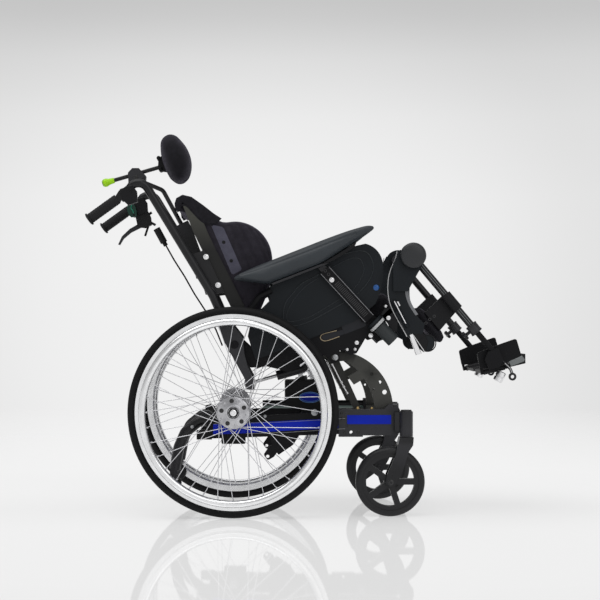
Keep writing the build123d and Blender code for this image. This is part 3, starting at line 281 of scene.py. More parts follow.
def plastic(name, colour, rough=0.5, spec=0.35, grain=0.00006):
    """Moulded plastic: fine spark-eroded grain and slight sheen changes."""
    m = Mat(name, colour, rough, 0.0, spec)
    cloud = m.noise(9, 3)
    pits = m.node("ShaderNodeTexVoronoi", feature="F1")
    pits.inputs["Scale"].default_value = 1100
    m.link(m.co, pits.inputs["Vector"])
    m.base(m.tint(m.remap(cloud, 0.3, 0.7), shade_of(colour, 0.85), shade_of(colour, 1.2)))
    m.roughness(cloud, 0.06)
    m.bump(pits.outputs["Distance"], grain, 0.5)
    return m


def metal(name, colour, rough=0.3, brush=None, scratches=0.00002):
    """Bare metal with brushing along or round the piece and a few dull patches."""
    m = Mat(name, colour, rough, 1.0, 0.5)
    cloud = m.noise(22, 4)
    lines = m.noise(300, 4, 0.6, co=m.stretch(*(brush or (1, 1, 1))))
    m.base(m.tint(m.remap(cloud, 0.25, 0.75), shade_of(colour, 0.86), shade_of(colour, 1.04)))
    m.roughness(lines, 0.08)
    m.bump(lines, scratches, 0.5)
    return m


def cloth(name, colour, light, rough=0.85, pitch=0.0016, sheen=0.25, depth=0.00035):
    """Woven cover: crossing threads over all faces, soft slub and a light sheen."""
    m = Mat(name, colour, rough, 0.0, 0.2)
    waves = []
    for turn in ((1, 0.35, 0.6), (-0.6, 0.35, 1)):
        w = m.node("ShaderNodeTexWave", wave_type="BANDS", bands_direction="DIAGONAL")
        w.inputs["Scale"].default_value = 0.31 / pitch
        w.inputs["Distortion"].default_value = 0.6
        w.inputs["Detail"].default_value = 1.0
        m.link(m.stretch(*turn), w.inputs["Vector"])
        waves.append(w.outputs["Fac"])
    weave = m.math("MULTIPLY", waves[0], waves[1])
    slub = m.noise(60, 4)
    mixv = m.math("ADD", m.math("MULTIPLY", weave, 0.5), m.math("MULTIPLY", slub, 0.6))
    m.base(m.tint(m.remap(mixv, 0.25, 0.75), colour, light))
    m.bump(weave, depth, 0.7)
    m.bump(slub, 0.0012, 0.35)
    m.set(Sheen_Weight=sheen, Sheen_Roughness=0.45)
    m.p.inputs["Sheen Tint"].default_value = (0.55, 0.5, 0.7, 1)
    return m


def hub_metal():
    """Polished hub shell with turning marks, its colour darkened in patches as a painted dark reflection, and
    duller plain spokes further out.
    """
    m = metal("hub_metal", (0.5, 0.5, 0.52), 0.22)
    dx = m.math("SUBTRACT", m.axis("X"), HUB[0] / MM)
    dz = m.math("SUBTRACT", m.axis("Z"), HUB[1] / MM)
    far = m.math("SQRT", m.math("ADD", m.math("MULTIPLY", dx, dx), m.math("MULTIPLY", dz, dz)))
    rings = m.math("SINE", m.math("MULTIPLY", far, 2600.0))
    marks = m.math("ADD", m.math("MULTIPLY", rings, 0.25), m.noise(30, 4))
    # The dark end of this tint is a painted dark reflection on the polished shell; the rings are turning marks.
    shell = m.tint(m.remap(marks, 0.2, 0.9), (0.28, 0.28, 0.3), (0.72, 0.72, 0.74))
    m.base(m.tint(m.remap(far, 0.050, 0.056), shell, (0.72, 0.72, 0.74)))
    return m


def teal_tube():
    """Painted tube: teal grey with a black upper strip and scuffed paint."""
    m = painted("teal_tube", (0.085, 0.125, 0.115), 0.35, 0.35)
    paint = m.tint(m.noise(40, 4), (0.07, 0.105, 0.096), (0.115, 0.16, 0.148))
    m.base(m.tint(m.remap(m.axis("Z"), 0.3100, 0.3106), paint, (0.008, 0.008, 0.009)))
    return m


def shell_plastic():
    """Moulded back shell: grey at the top, darker towards its foot."""
    m = plastic("shell_grey", (0.05, 0.05, 0.042), 0.45, 0.3)
    m.base(m.tint(m.remap(m.axis("Z"), 0.77, 0.87), (0.007, 0.007, 0.0068), (0.05, 0.05, 0.042)))
    return m


FINISHES = {
    painted: {
        "frame_black": ((0.0095, 0.0095, 0.011), 0.32, 0.3),
        "royal_blue": ((0.0, 0.0075, 0.21), 0.34, 0.16, 0.00002, 0.3),
        "arm_grey": ((0.0205, 0.0205, 0.0185), 0.42, 0.25),
        # screw_dark also gives the painted shade of the hub cut-outs
        "screw_dark": ((0.011, 0.011, 0.012), 0.3, 0.45),
        # edge_mid is the grey of the foot bar and also the painted highlight on the leg tube ridges
        "edge_mid": ((0.07, 0.075, 0.076), 0.35, 0.4),
        "edge_grey": ((0.10, 0.10, 0.105), 0.32, 0.4),
        # edge_light also gives the painted highlight on the foot hook
        "edge_light": ((0.3, 0.305, 0.31), 0.3, 0.4),
        "slot_tan": ((0.26, 0.205, 0.135), 0.4, 0.3),
        "badge_rim": ((0.075, 0.17, 0.42), 0.3, 0.4),
    },
    plastic: {
        "cover_black": ((0.0058, 0.0058, 0.007), 0.5, 0.2),
        "tyre_black": ((0.0055, 0.0055, 0.006), 0.6, 0.16, 0.0001),
        "wheel_black": ((0.0095, 0.0095, 0.0108), 0.4, 0.32),
        "guard_plastic": ((0.0068, 0.0092, 0.0118), 0.5, 0.2),
        "armpad_cover": ((0.024, 0.030, 0.036), 0.5, 0.4, 0.0002),
        "green_plastic": ((0.0015, 0.036, 0.022), 0.35, 0.4),
        "rubber_black": ((0.0088, 0.0088, 0.0098), 0.62, 0.25, 0.00015),
        "lime_plastic": ((0.36, 0.72, 0.0), 0.35, 0.4),
        "socket_grey": ((0.021, 0.0245, 0.026), 0.48, 0.3),
        "knee_grey": ((0.019, 0.0205, 0.023), 0.42, 0.4),
        "panel_black": ((0.0050, 0.0050, 0.0060), 0.55, 0.15),
        # paler plastic: a painted highlight on the guard's contour ridges
        "guard_edge": ((0.0115, 0.0150, 0.0185), 0.42, 0.35),
        "band_grey": ((0.17, 0.175, 0.185), 0.45, 0.3),
        "plate_blank": ((0.0075, 0.0085, 0.0125), 0.42, 0.3),
        "button_blue": ((0.006, 0.075, 0.27), 0.3, 0.5),
        # pale green: a painted highlight streak on the trigger
        "green_light": ((0.015, 0.22, 0.13), 0.3, 0.5),
    },
    metal: {
        "bright_alu": ((0.9, 0.905, 0.915), 0.24),
        "steel": ((0.62, 0.62, 0.63), 0.28),
        "bolt_grey": ((0.36, 0.37, 0.38), 0.34),
        # bolt_bright also gives the painted highlight along the elevation rod
        "bolt_bright": ((0.86, 0.86, 0.87), 0.24),
        "spoke_steel": ((0.8, 0.8, 0.82), 0.3),
        "brass": ((0.62, 0.45, 0.2), 0.32),
    },
    cloth: {
        "cushion_cloth": ((0.0125, 0.011, 0.0155), (0.031, 0.028, 0.038)),
    },
}
MATS = {name: maker(name, *values) for maker, rows in FINISHES.items() for name, values in rows.items()}
MATS["pad_black"] = cloth("pad_black", (0.006, 0.0058, 0.0075), (0.018, 0.017, 0.022), sheen=0.12)
MATS["strip_cloth"] = cloth("strip_cloth", (0.060, 0.059, 0.082), (0.102, 0.100, 0.135), sheen=0.1)
MATS["shell_grey"] = shell_plastic()
MATS["hub_polish"] = hub_metal()
MATS["teal_tube"] = teal_tube()
SLOT_OF = {sp["node"]: sp["material_slot"] for sp in frame["record"]["subparts"]}

NODE_FINISH = {
    "back_shell": "shell_grey",
    "legrest_sockets": "socket_grey",
    "actuator_tube": "teal_tube",
    "wheel_hub_right": "hub_polish",
    "wheel_hub_left": "hub_polish",
    "foot_tube_right": "panel_black",
    "foot_tube_left": "panel_black",
    "seat_rails": "panel_black",
    "arm_posts": "panel_black",
    "side_beams": "panel_black",
    "axle_plates": "panel_black",
}
for name, obj in nodes.items():
    mat = MATS[NODE_FINISH.get(name, SLOT_OF[name])].m
    if not obj.material_slots:
        obj.data.materials.append(mat)
    for s in obj.material_slots:
        s.material = mat

fm = Mat("floor", (0.86, 0.86, 0.86), 0.5, 0.0, 0.0)
# Painted shade: the floor colour is darkened in a faint band along X, darkest at Y = -0.05 m and fading out
# over half a metre.
dist = fm.math("ABSOLUTE", fm.math("SUBTRACT", fm.axis("Y"), -0.05))
painted_shade_band = fm.remap(dist, 0.0, 0.5, 0.93, 1.0)
tone = fm.node("ShaderNodeVectorMath", operation="SCALE")
tone.inputs[0].default_value = (0.9, 0.9, 0.9)
fm.link(painted_shade_band, tone.inputs["Scale"])
fm.base(tone.outputs[0])
run = fm.node("ShaderNodeVectorMath", operation="LENGTH")
fm.link(fm.co, run.inputs[0])
away = fm.remap(run.outputs["Value"], 1.6, 6.0)
lit = fm.node("ShaderNodeEmission")
lit.inputs["Color"].default_value = (0.92, 0.92, 0.92, 1)
gloss = fm.node("ShaderNodeBsdfGlossy")
gloss.inputs["Roughness"].default_value = 0.03
gloss.inputs["Color"].default_value = (1, 1, 1, 1)
beyond = fm.node("ShaderNodeBsdfTransparent")
soft = fm.mix_shaders(0.6, fm.p.outputs[0], lit.outputs[0])
near = fm.mix_shaders(0.2, soft, gloss.outputs[0])
fm.link(fm.mix_shaders(away, near, beyond.outputs[0]), fm.out.inputs[0])
floor.data.materials.append(fm.m)

# ---- mesh helpers
def add_object(name, mesh, body, slot, finish=None, smooth=True):
    """Links a mesh piece, gives it its material and lets it ride on a body."""
    obj = bpy.data.objects.new(name, mesh)
    scene.collection.objects.link(obj)
    mesh.materials.clear()
    mesh.materials.append(MATS[finish or slot].m)
    if smooth:
        mesh.polygons.foreach_set("use_smooth", [True] * len(mesh.polygons))
    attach(obj, body)
    return obj


def mesh_of(obj):
    dg = bpy.context.evaluated_depsgraph_get()
    return bpy.data.meshes.new_from_object(obj.evaluated_get(dg))


def coords(mesh):
    co = np.empty(len(mesh.vertices) * 3)
    mesh.vertices.foreach_get("co", co)
    return co.reshape(-1, 3)


def put(mesh, co):
    mesh.vertices.foreach_set("co", co.astype(np.float32).ravel())
    mesh.update()


def normals(mesh):
    n = np.empty(len(mesh.vertices) * 3)
    mesh.vertices.foreach_get("normal", n)
    return n.reshape(-1, 3)


def island(node, wanted):
    """The closed bodies of a node whose centre passes a test, as one new mesh."""
    bm = bmesh.new()
    bm.from_mesh(nodes[node].data)
    bmesh.ops.remove_doubles(bm, verts=bm.verts, dist=1e-6)
    bm.verts.ensure_lookup_table()
    seen_verts, drop = set(), []
    for v in bm.verts:
        if v.index in seen_verts:
            continue
        stack, group = [v], []
        seen_verts.add(v.index)
        while stack:
            a = stack.pop()
            group.append(a)
            for e in a.link_edges:
                b = e.other_vert(a)
                if b.index not in seen_verts:
                    seen_verts.add(b.index)
                    stack.append(b)
        co = np.array([g.co for g in group])
        if not wanted(co.min(0), co.max(0)):
            drop += group
    bmesh.ops.delete(bm, geom=drop, context="VERTS")
    mesh = bpy.data.meshes.new(node + "_copy")
    bm.to_mesh(mesh)
    bm.free()
    return mesh


def even_out(mesh, rounds, weight=0.5):
    """Moves each point towards the middle of its neighbours, which rounds hard edges."""
    e = np.empty(len(mesh.edges) * 2, dtype=np.int64)
    mesh.edges.foreach_get("vertices", e)
    e = e.reshape(-1, 2)
    co = coords(mesh)
    count = np.bincount(e.ravel(), minlength=len(co))[:, None]
    for _ in range(rounds):
        total = np.zeros_like(co)
        np.add.at(total, e[:, 0], co[e[:, 1]])
        np.add.at(total, e[:, 1], co[e[:, 0]])
        co = co + weight * (total / count - co)
    put(mesh, co)


def padded(
    name, mesh, body, slot, voxel, rounds, inset, cap, pressure=4.0, pin=None, limit=None, finish=None,
    replaces=(),
):
    """A stuffed cover: remeshed, its edges rounded, blown up as cloth, and one subdivision."""
    obj = bpy.data.objects.new(name + "_work", mesh)
    scene.collection.objects.link(obj)
    m = obj.modifiers.new("remesh", "REMESH")
    m.mode = "VOXEL"
    m.voxel_size = voxel
    grid = mesh_of(obj)
    obj.modifiers.clear()
    obj.data = grid
    even_out(grid, rounds)
    start = coords(grid)
    put(grid, start - normals(grid) * inset)
    start = coords(grid)
    if pin is not None:
        group = obj.vertex_groups.new(name="pin")
        group.add([int(i) for i in np.nonzero(pin(start))[0]], 1.0, "REPLACE")
    c = obj.modifiers.new("cloth", "CLOTH")
    c.settings.quality = 5
    c.settings.mass = 0.3
    c.settings.tension_stiffness = 12
    c.settings.compression_stiffness = 12
    c.settings.shear_stiffness = 6
    c.settings.bending_stiffness = 0.4
    c.settings.use_pressure = True
    c.settings.uniform_pressure_force = pressure
    c.settings.effector_weights.gravity = 0
    if pin is not None:
        c.settings.vertex_group_mass = "pin"
    c.point_cache.frame_start = 1
    c.point_cache.frame_end = 20
    for f in range(1, 21):
        scene.frame_set(f)
    blown = mesh_of(obj)
    moved = coords(blown) - start
    bpy.data.meshes.remove(blown)
    obj.modifiers.clear()
    scene.frame_set(1)
    far = np.linalg.norm(moved, axis=1, keepdims=True)
    start = start + moved * np.minimum(1.0, cap / np.maximum(far, 1e-9))
    put(grid, start)
    even_out(grid, 1)
    if limit is not None:
        put(grid, limit(coords(grid)))
    s = obj.modifiers.new("sub", "SUBSURF")
    s.levels = 1
    fine = mesh_of(obj)
    bpy.data.objects.remove(obj)
    fine.name = name
    piece = add_object(name, fine, body, slot, finish)
    if replaces:
        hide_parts(*replaces)
    return piece


def dense(points, step=0.002):
    """Points every few millimetres along a polyline."""
    out = []
    for a, b in zip(points[:-1], points[1:]):
        a, b = Vector(a), Vector(b)
        n = max(1, int((b - a).length / step))
        out += [a.lerp(b, i / n) for i in range(n)]
    return out + [Vector(points[-1])]


def curve_points(points, per=10, closed=False):
    """A smooth line through the points (Catmull-Rom)."""
    p = [Vector(q) for q in points]
    n = len(p)
    out = []
    for i in range(n if closed else n - 1):
        if closed:
            a, b, c, d = (p[(i + k - 1) % n] for k in range(4))
        else:
            b, c = p[i], p[i + 1]
            a = p[i - 1] if i else b * 2 - c
            d = p[i + 2] if i + 2 < n else c * 2 - b
        for k in range(per):
            t = k / per
            bend = (2 * a - 5 * b + 4 * c - d) * t * t + (3 * b - a - 3 * c + d) * t ** 3
            out.append(0.5 * (2 * b + (c - a) * t + bend))
    if not closed:
        out.append(p[-1])
    return out


def groove(obj, lines, depth, width):
    """Presses sewn channels or seams into a cover along lines that run near its surface."""
    pts = [q for line in lines for q in dense(line)]
    tree = kdtree.KDTree(len(pts))
    for i, q in enumerate(pts):
        tree.insert(q, i)
    tree.balance()
    mesh = obj.data
    co, no = coords(mesh), normals(mesh)
    for i in range(len(co)):
        d = tree.find(co[i])[2]
        if d < 3 * width:
            co[i] -= no[i] * depth * math.exp(-((d / width) ** 2))
    put(mesh, co)


def on_surface(obj, line, lift=0.0):
    """The line's points moved onto the nearest place of a piece's surface."""
    out = []
    for q in line:
        _, place, no, _ = obj.closest_point_on_mesh(Vector(q))
        out.append(place + no * lift)
    return out


def piping(name, points, radius, body, slot):
    """A closed round bead along points, as a mesh tube."""
    data = bpy.data.curves.new(name, "CURVE")
    data.dimensions = "3D"
    data.bevel_depth = radius
    data.bevel_resolution = 4
    sp = data.splines.new("POLY")
    sp.points.add(len(points) - 1)
    for i, q in enumerate(points):
        sp.points[i].co = (*q, 1)
    sp.use_cyclic_u = True
    tmp = bpy.data.objects.new(name + "_line", data)
    scene.collection.objects.link(tmp)
    mesh = mesh_of(tmp)
    bpy.data.objects.remove(tmp)
    bpy.data.curves.remove(data)
    add_object(name, mesh, body, slot)


def P(x, y, z):
    """A place in millimetres, y to the right of the middle."""
    return Vector((x / MM, -y / MM, z / MM))


# ---- soft pieces
SEAT_ANGLE = math.radians(-SEAT_RISE)
PIVOT = P(TILT[0], 0, TILT[1])
ALONG = Vector((math.cos(SEAT_ANGLE), 0, math.sin(SEAT_ANGLE)))
ABOVE = Vector((-math.sin(SEAT_ANGLE), 0, math.cos(SEAT_ANGLE)))


def seat_place(along, height, y=0.0):
    """A place given along the seat and above it, in millimetres, y to the left."""
    return PIVOT + ALONG * (along / MM) + ABOVE * (height / MM) + Vector((0, y / MM, 0))


def seat_height(co):
    return (co - np.array(PIVOT)) @ np.array(ABOVE)


def lift_to(co, height):
    """Raises what lies under a height over the seat to that height."""
    return co + np.outer(np.maximum(0, height - seat_height(co)), np.array(ABOVE))


RAIL_TOP = 0.084


def clear_pan(co):
    """Keeps the seat cushion over its pan and between the rails and guards."""
    co = lift_to(co, 0.0566)
    half = np.where(seat_height(co) < RAIL_TOP, 0.1975, 0.2145)
    co[:, 1] = np.clip(co[:, 1], -half, half)
    return co


seat_cushion = padded(
    "seat_cushion_cover",
    nodes["seat_cushion"].data.copy(),
    "seat",
    "cushion_cloth",
    voxel=0.006,
    rounds=5,
    inset=0.004,
    cap=0.012,
    pin=lambda co: seat_height(co) < 0.066,
    limit=clear_pan,
    finish="pad_black",
    replaces=("seat_cushion",),
)
TOP, SEAM = 138, 118
rows = [[seat_place(a, TOP, y) for y in range(-150, 151, 10)] for a in (-70, 60)]
rim = ((-196, -190), (180, -190), (205, -160), (205, 160), (180, 190), (-196, 190))
edge = [seat_place(a, SEAM, y) for a, y in rim]
groove(seat_cushion, [on_surface(seat_cushion, r) for r in rows], 0.005, 0.006)
rim_line = on_surface(seat_cushion, curve_points(edge, 14, True))
groove(seat_cushion, [rim_line + rim_line[:1]], 0.002, 0.003)
piping("seat_cushion_piping", on_surface(seat_cushion, rim_line, 0.0008), 0.0019, "seat", "cushion_cloth")

SHELL = [(-360, 903), (-348, 872), (-328, 822), (-302, 768), (-262, 690), (-226, 618), (-196, 556)]


def shell_x(z):
    pts = SHELL[::-1]
    return np.interp(z, [q[1] / MM for q in pts], [q[0] / MM for q in pts])


def clear_shell(co):
    """Keeps the back cushion ahead of its shell and between the flanges."""
    front = shell_x(co[:, 2]) + 0.0052
    low = co[:, 2] < 0.905
    behind = low & (co[:, 2] > 0.868) & (co[:, 0] < front - 0.003)
    co[:, 0] = np.where(behind, np.minimum(co[:, 0], front - 0.0062), co[:, 0])
    co[:, 0] = np.where(low & ~behind, np.maximum(co[:, 0], front), co[:, 0])
    half = np.where(co[:, 0] < front + 0.042, 0.2072, 0.2105)
    co[:, 1] = np.clip(co[:, 1], -half, half)
    return co


back_cushion = padded(
    "back_cushion_cover",
    nodes["back_cushion"].data.copy(),
    "back",
    "cushion_cloth",
    voxel=0.005,
    rounds=8,
    inset=0.004,
    cap=0.009,
    pin=lambda co: co[:, 0] < shell_x(co[:, 2]) + 0.012,
    limit=clear_shell,
    replaces=("back_cushion",),
)


flutes = [
    ((-225, 845), (-165, 715)), ((-200, 850), (-140, 725)), ((-172, 850), (-115, 735)),
    ((-145, 835), (-100, 745)),
]
groove(
    back_cushion,
    [
        on_surface(back_cushion, dense([P(a[0], y, a[1]), P(b[0], y, b[1])], 0.01))
        for a, b in flutes for y in (-214, 214)
    ],
    0.0035,
    0.005,
)

PAD_INNER = 0.2138


def clear_bracket(co):
    """Keeps an arm pad over its bracket and clear of the back cushion's side."""
    co = lift_to(co, 0.2662)
    y = co[:, 1]
    co[:, 1] = np.where(np.abs(y) < PAD_INNER, np.sign(y) * PAD_INNER, y)
    return co


for hand, s in SIDES.items():
    arm = padded(
        f"arm_pad_cover_{hand}",
        nodes[f"arm_pad_{hand}"].data.copy(),
        f"armrest_{hand}",
        "armpad_cover",
        voxel=0.004,
        rounds=9,
        inset=0.002,
        cap=0.005,
        pressure=3.0,
        pin=lambda co: seat_height(co) < 0.268,
        limit=clear_bracket,
        replaces=(f"arm_pad_{hand}",),
    )
    side = [P(x, s * 279, z) for x, z in ((-190, 701), (-77, 743), (43, 785), (140, 816))]
    groove(arm, [on_surface(arm, side)], 0.0022, 0.0035)
    pad_mesh = island(f"calf_pad_{hand}", lambda lo, hi: hi[1] - lo[1] > 0.1)
    arm_mesh = island(f"calf_pad_{hand}", lambda lo, hi: hi[1] - lo[1] <= 0.1)
    padded(
        f"calf_cushion_{hand}",
        pad_mesh,
        f"calf_pad_{hand}",
        "cushion_cloth",
        voxel=0.004,
        rounds=8,
        inset=0.002,
        cap=0.006,
        finish="pad_black",
        replaces=(f"calf_pad_{hand}",),
    )
    add_object(f"calf_bracket_{hand}", arm_mesh, f"calf_pad_{hand}", "cover_black", smooth=False)

HEAD = [
    (-436, 1100), (-424, 1040), (-398, 986), (-380, 977), (-360, 986), (-341, 1046), (-372, 1108), (-408, 1127),
]


def arc3(a, b, c, n):
    """Points on the arc through three points of the side view, without the last."""
    ax, ay, bx, by, cx, cy = *a, *b, *c
    d = 2 * (ax * (by - cy) + bx * (cy - ay) + cx * (ay - by))
    aa, bb, cc = (q[0] * q[0] + q[1] * q[1] for q in (a, b, c))
    ux = (aa * (by - cy) + bb * (cy - ay) + cc * (ay - by)) / d
    uy = (aa * (cx - bx) + bb * (ax - cx) + cc * (bx - ax)) / d
    r = math.hypot(ax - ux, ay - uy)
    t0, t1, t2 = (math.atan2(q[1] - uy, q[0] - ux) for q in (a, b, c))
    full = 2 * math.pi
    if (t1 - t0) % full < (t2 - t0) % full:
        span = (t2 - t0) % full
    else:
        span = -((t0 - t2) % full)
    return [(ux + r * math.cos(t0 + span * i / n), uy + r * math.sin(t0 + span * i / n)) for i in range(n)]


ring = []
for i in range(0, 8, 2):
    ring += arc3(HEAD[i], HEAD[i + 1], HEAD[(i + 2) % 8], 14)
bm = bmesh.new()
loops = []
hx, hz = -388.0, 1052.0
half_len = 128.0
for k in range(37):
    u = math.sin(math.pi * (k / 36 - 0.5))
    s = max(0.04, (1 - abs(u) ** 3.6) ** (1 / 2.6)) if abs(u) < 1 else 0.04
    loops.append([bm.verts.new(P(hx + (x - hx) * s, u * half_len, hz + (z - hz) * s)) for x, z in ring])
for a, b in zip(loops[:-1], loops[1:]):
    for i in range(len(a)):
        j = (i + 1) % len(a)
        bm.faces.new((a[i], a[j], b[j], b[i]))
bm.faces.new(loops[0])
bm.faces.new(loops[-1][::-1])
bmesh.ops.recalc_face_normals(bm, faces=bm.faces)
head_mesh = bpy.data.meshes.new("headrest_form")
bm.to_mesh(head_mesh)
bm.free()
padded(
    "headrest_pad_cover",
    head_mesh,
    "headrest_pad",
    "cushion_cloth",
    voxel=0.004,
    rounds=3,
    inset=0.002,
    cap=0.004,
    finish="pad_black",
    replaces=("headrest_pad",),
)

# ---- small rigid forms
def inset(outline, depth):
    """The outline drawn in by a depth on every side."""
    n = len(outline)
    area = sum(p[0] * q[1] - q[0] * p[1] for p, q in zip(outline, outline[1:] + outline[:1]))
    turn = 1 if area > 0 else -1
    out = []
    for i in range(n):
        p, q, r = (Vector(outline[(i + k) % n]) for k in (-1, 0, 1))
        a, b = (q - p).normalized(), (r - q).normalized()
        na, nb = Vector((-a.y, a.x)) * turn, Vector((-b.y, b.x)) * turn
        move = (na + nb) / max(0.35, 1 + na.dot(nb))
        out.append(tuple(q + move * depth))
    return out


MIDDLE = ("chassis", "seat", "back")
SHARP = math.radians(38)


def turns(count):
    """Evenly spaced angles round a full turn."""
    return [2 * math.pi * i / count for i in range(count)]


def polar(radius, angle, rise=0.0):
    """A place in millimetres round an axis, as a vector."""
    return Vector((radius * math.cos(angle), radius * math.sin(angle), rise)) / MM


class Kit:
    """Gathers small rigid forms into pieces, for one side or for the middle."""

    def __init__(self, hand=None):
        self.bm = bmesh.new()
        self.hand = SIDES.get(hand, 1)
        self.tag = f"_{hand}" if hand else ""

    def at(self, x, y, z):
        return P(x, self.hand * y, z)

    def spot(self, place, y):
        return self.at(place[0], y, place[1])

    def outward(self, x, z, y):
        """A place of the side view at a distance from the middle, and one further out."""
        return self.at(x, y, z), self.at(x, y + 10, z)

    def skin(self, loops, closed=False):
        rows = [[self.bm.verts.new(q) for q in loop] for loop in loops]
        for a, b in zip(rows, rows[1:] + rows[:1] if closed else rows[1:]):
            for i in range(len(a)):
                j = (i + 1) % len(a)
                self.bm.faces.new((a[i], a[j], b[j], b[i]))
        if not closed:
            self.bm.faces.new(rows[0][::-1])
            self.bm.faces.new(rows[-1])

    def turned(self, start, end, profile, sides=24):
        """A turned form from start towards end; the profile gives distances and radii in millimetres."""
        way = (end - start).normalized()
        turn = way.to_track_quat("Z", "Y")
        loops = []
        for d, r in profile:
            loops.append([start + turn @ polar(r, t, d) for t in turns(sides)])
        self.skin(loops)

    def knob(self, x, z, y, profile, sides=24):
        """A turned form that stands out sideways."""
        self.turned(*self.outward(x, z, y), profile, sides)

    def ring(self, centre, end, section, sides=96):
        """A ring round the line from centre to end; the section gives radii and distances along the line."""
        way = (end - centre).normalized()
        turn = way.to_track_quat("Z", "Y")
        loops = []
        for t in turns(sides):
            loops.append([centre + turn @ polar(r, t, d) for r, d in section])
        self.skin(loops, closed=True)

    def hoop(self, x, z, y, section, sides):
        """A ring that faces sideways."""
        self.ring(*self.outward(x, z, y), section, sides)

    def tube(self, points, radius, sides=8, closed=False):
        """A round rod or bead along points; radius in millimetres."""
        pts = [Vector(q) for q in points]
        n = len(pts)
        normal = None
        loops = []
        for i, q in enumerate(pts):
            if closed:
                way = (pts[(i + 1) % n] - pts[i - 1]).normalized()
            else:
                way = (pts[min(i + 1, n - 1)] - pts[max(i - 1, 0)]).normalized()
            if normal is None:
                normal = way.orthogonal().normalized()
            normal = (normal - way * normal.dot(way)).normalized()
            other = way.cross(normal)
            spots = [normal * math.cos(t) + other * math.sin(t) for t in turns(sides)]
            loops.append([q + d * (radius / MM) for d in spots])
        self.skin(loops, closed)

    def line(self, places, y, radius, smooth=True, closed=False):
        """A bead along side-view places at a distance from the middle."""
        pts = [self.at(x, y, z) for x, z in places]
        self.tube(curve_points(pts, 8, closed) if smooth else pts, radius, closed=closed)

    def plate(self, outline, low, high, edge=0.6):
        """A plate with chamfered edges from a side outline."""
        small = inset(outline, edge)
        rows = ((small, low), (outline, low + edge), (outline, high - edge), (small, high))
        self.skin([[self.at(x, y, z) for x, z in places] for places, y in rows])

    def bolt(self, x, z, y, radius, height=3.0):
        """A washer and a domed socket head that stand out sideways."""
        washer = [(-0.4, 1.3), (0.7, 1.3), (0.9, 1.0)]
        head = [(height - 0.9, 0.98), (height, 0.72), (height, 0.48), (height - 1.3, 0.44)]
        self.knob(x, z, y, [(d, k * radius) for d, k in washer + head])

    def done(self, name, body, slot, finish=None):
        """Makes the gathered forms one piece, and starts the next."""
        bmesh.ops.recalc_face_normals(self.bm, faces=self.bm.faces)
        mesh = bpy.data.meshes.new(name + self.tag)
        self.bm.to_mesh(mesh)
        self.bm.free()
        self.bm = bmesh.new()
        rides = body if body in MIDDLE else body + self.tag
        piece = add_object(name + self.tag, mesh, rides, slot, finish)
        mesh.set_sharp_from_angle(angle=SHARP)
        return piece


def down(start, slope, distance, lift=0.0):
    """The X and Z at a distance down a line that falls by slope, and lift above it."""
    a = math.radians(slope)
    x = start[0] + distance * math.cos(a) + lift * math.sin(a)
    z = start[1] - distance * math.sin(a) + lift * math.cos(a)
    return (x, z)


# ---- chassis details
WHEEL_Y = 280.0
HUB_FACE = 306.4
VALVE = 0.61
GUARD_OUT = 221.0
LEG_Y = 235.0
KNEE = (307.0, 753.0)
LEG_SLOPE = 49.7
SOCKET = (226.0, 532.0)
SOCKET_Y = 246.0
BEAM_OUT = 225.0
RAIL_OUT = 216.0
CANE_Y = 237.0
BADGE = (16.0, 335.0)
POST_TOP, POST_SLOPE = (38.0, 727.0), 47.4
HANDLE, HANDLE_SLOPE = (-522.0, 934.0), 144.0

for hand in SIDES:
    k = Kit(hand)
    k.bolt(23.5, 299, BEAM_OUT, 7.5, 4)
    for x, z in ((-236, 250), (-120, 254)):
        k.bolt(x, z + 34, BEAM_OUT, 3.4, 2.5)
    k.knob(84, 458, 192, [(0, 8), (24.5, 8), (24.8, 9), (27.5, 8.6), (28.6, 6.4), (28.9, 3)])
    k.done("chassis_bolts", "chassis", "steel", "bolt_grey")
    for x, z, r in ((111, 241, 4), (150, 241, 4), (103, 297, 3.6), (104, 282, 3.6), (120, 262, 3.2)):
        k.bolt(x, z, BEAM_OUT, r, 2)
    k.bolt(256, 318, BEAM_OUT, 3.4, 2)
    k.done("casting_screws", "chassis", "steel", "screw_dark")
    for low, high in ((266.2, 282.2), (235.6, 252.6)):
        k.tube([k.at(-269, 226, low - 0.4), k.at(-60, 226.1, low + 5.6), k.at(112, 226.1, high - 0.8)], 0.75, 6)
    k.done("trim_edges", "chassis", "steel", "edge_grey")
    k.plate([(-246.5, 237), (-246.5, 266), (-175.5, 269), (-175.5, 240)], 236.6, 238.2, 0.3)
    k.done("axle_plate_trim", "chassis", "royal_blue")
    k.tube([k.at(77, 194.2, 437), k.at(107, 194.2, 377), k.at(120, 194.2, 354)], 1.9)
    for t in (0.0, 0.62, 0.78, 1.0):
        a, b = k.at(77, 194.2, 437), k.at(120, 194.2, 354)
        k.turned(a.lerp(b, t), b.lerp(a, -1), [(-4, 2.4), (-3, 3.6), (3, 3.6), (4, 2.4)], 16)
    k.done("strut_rod", "chassis", "steel")
    for x, z in ((150, 310), (191, 309)):
        fitting = [(0, 4), (4, 4), (4.5, 5.6), (8.5, 5.6), (9, 3.6), (13, 3.4), (14, 2.4)]
        k.turned(k.at(x, 205, z - 9), k.at(x, 205, z + 10), fitting, 12)
    k.done("brass_fittings", "chassis", "steel", "brass")
    for half, high, y, bead in ((32.2, 15.6, 56.3, 0.9), (28.4, 12.0, 56.4, 0.55)):
        oval = [(BADGE[0] + half * math.cos(t), BADGE[1] + high * math.sin(t)) for t in turns(48)]
        k.line(oval, y, bead, False, True)
    k.done("badge_rims", "chassis", "royal_blue", "badge_rim")
    k.bolt(-286, 262, 196, 4, 3)
    k.bolt(-332, 256, 196, 3.6, 3)
    k.done("anti_tip_screws", "anti_tip", "steel", "bolt_grey")

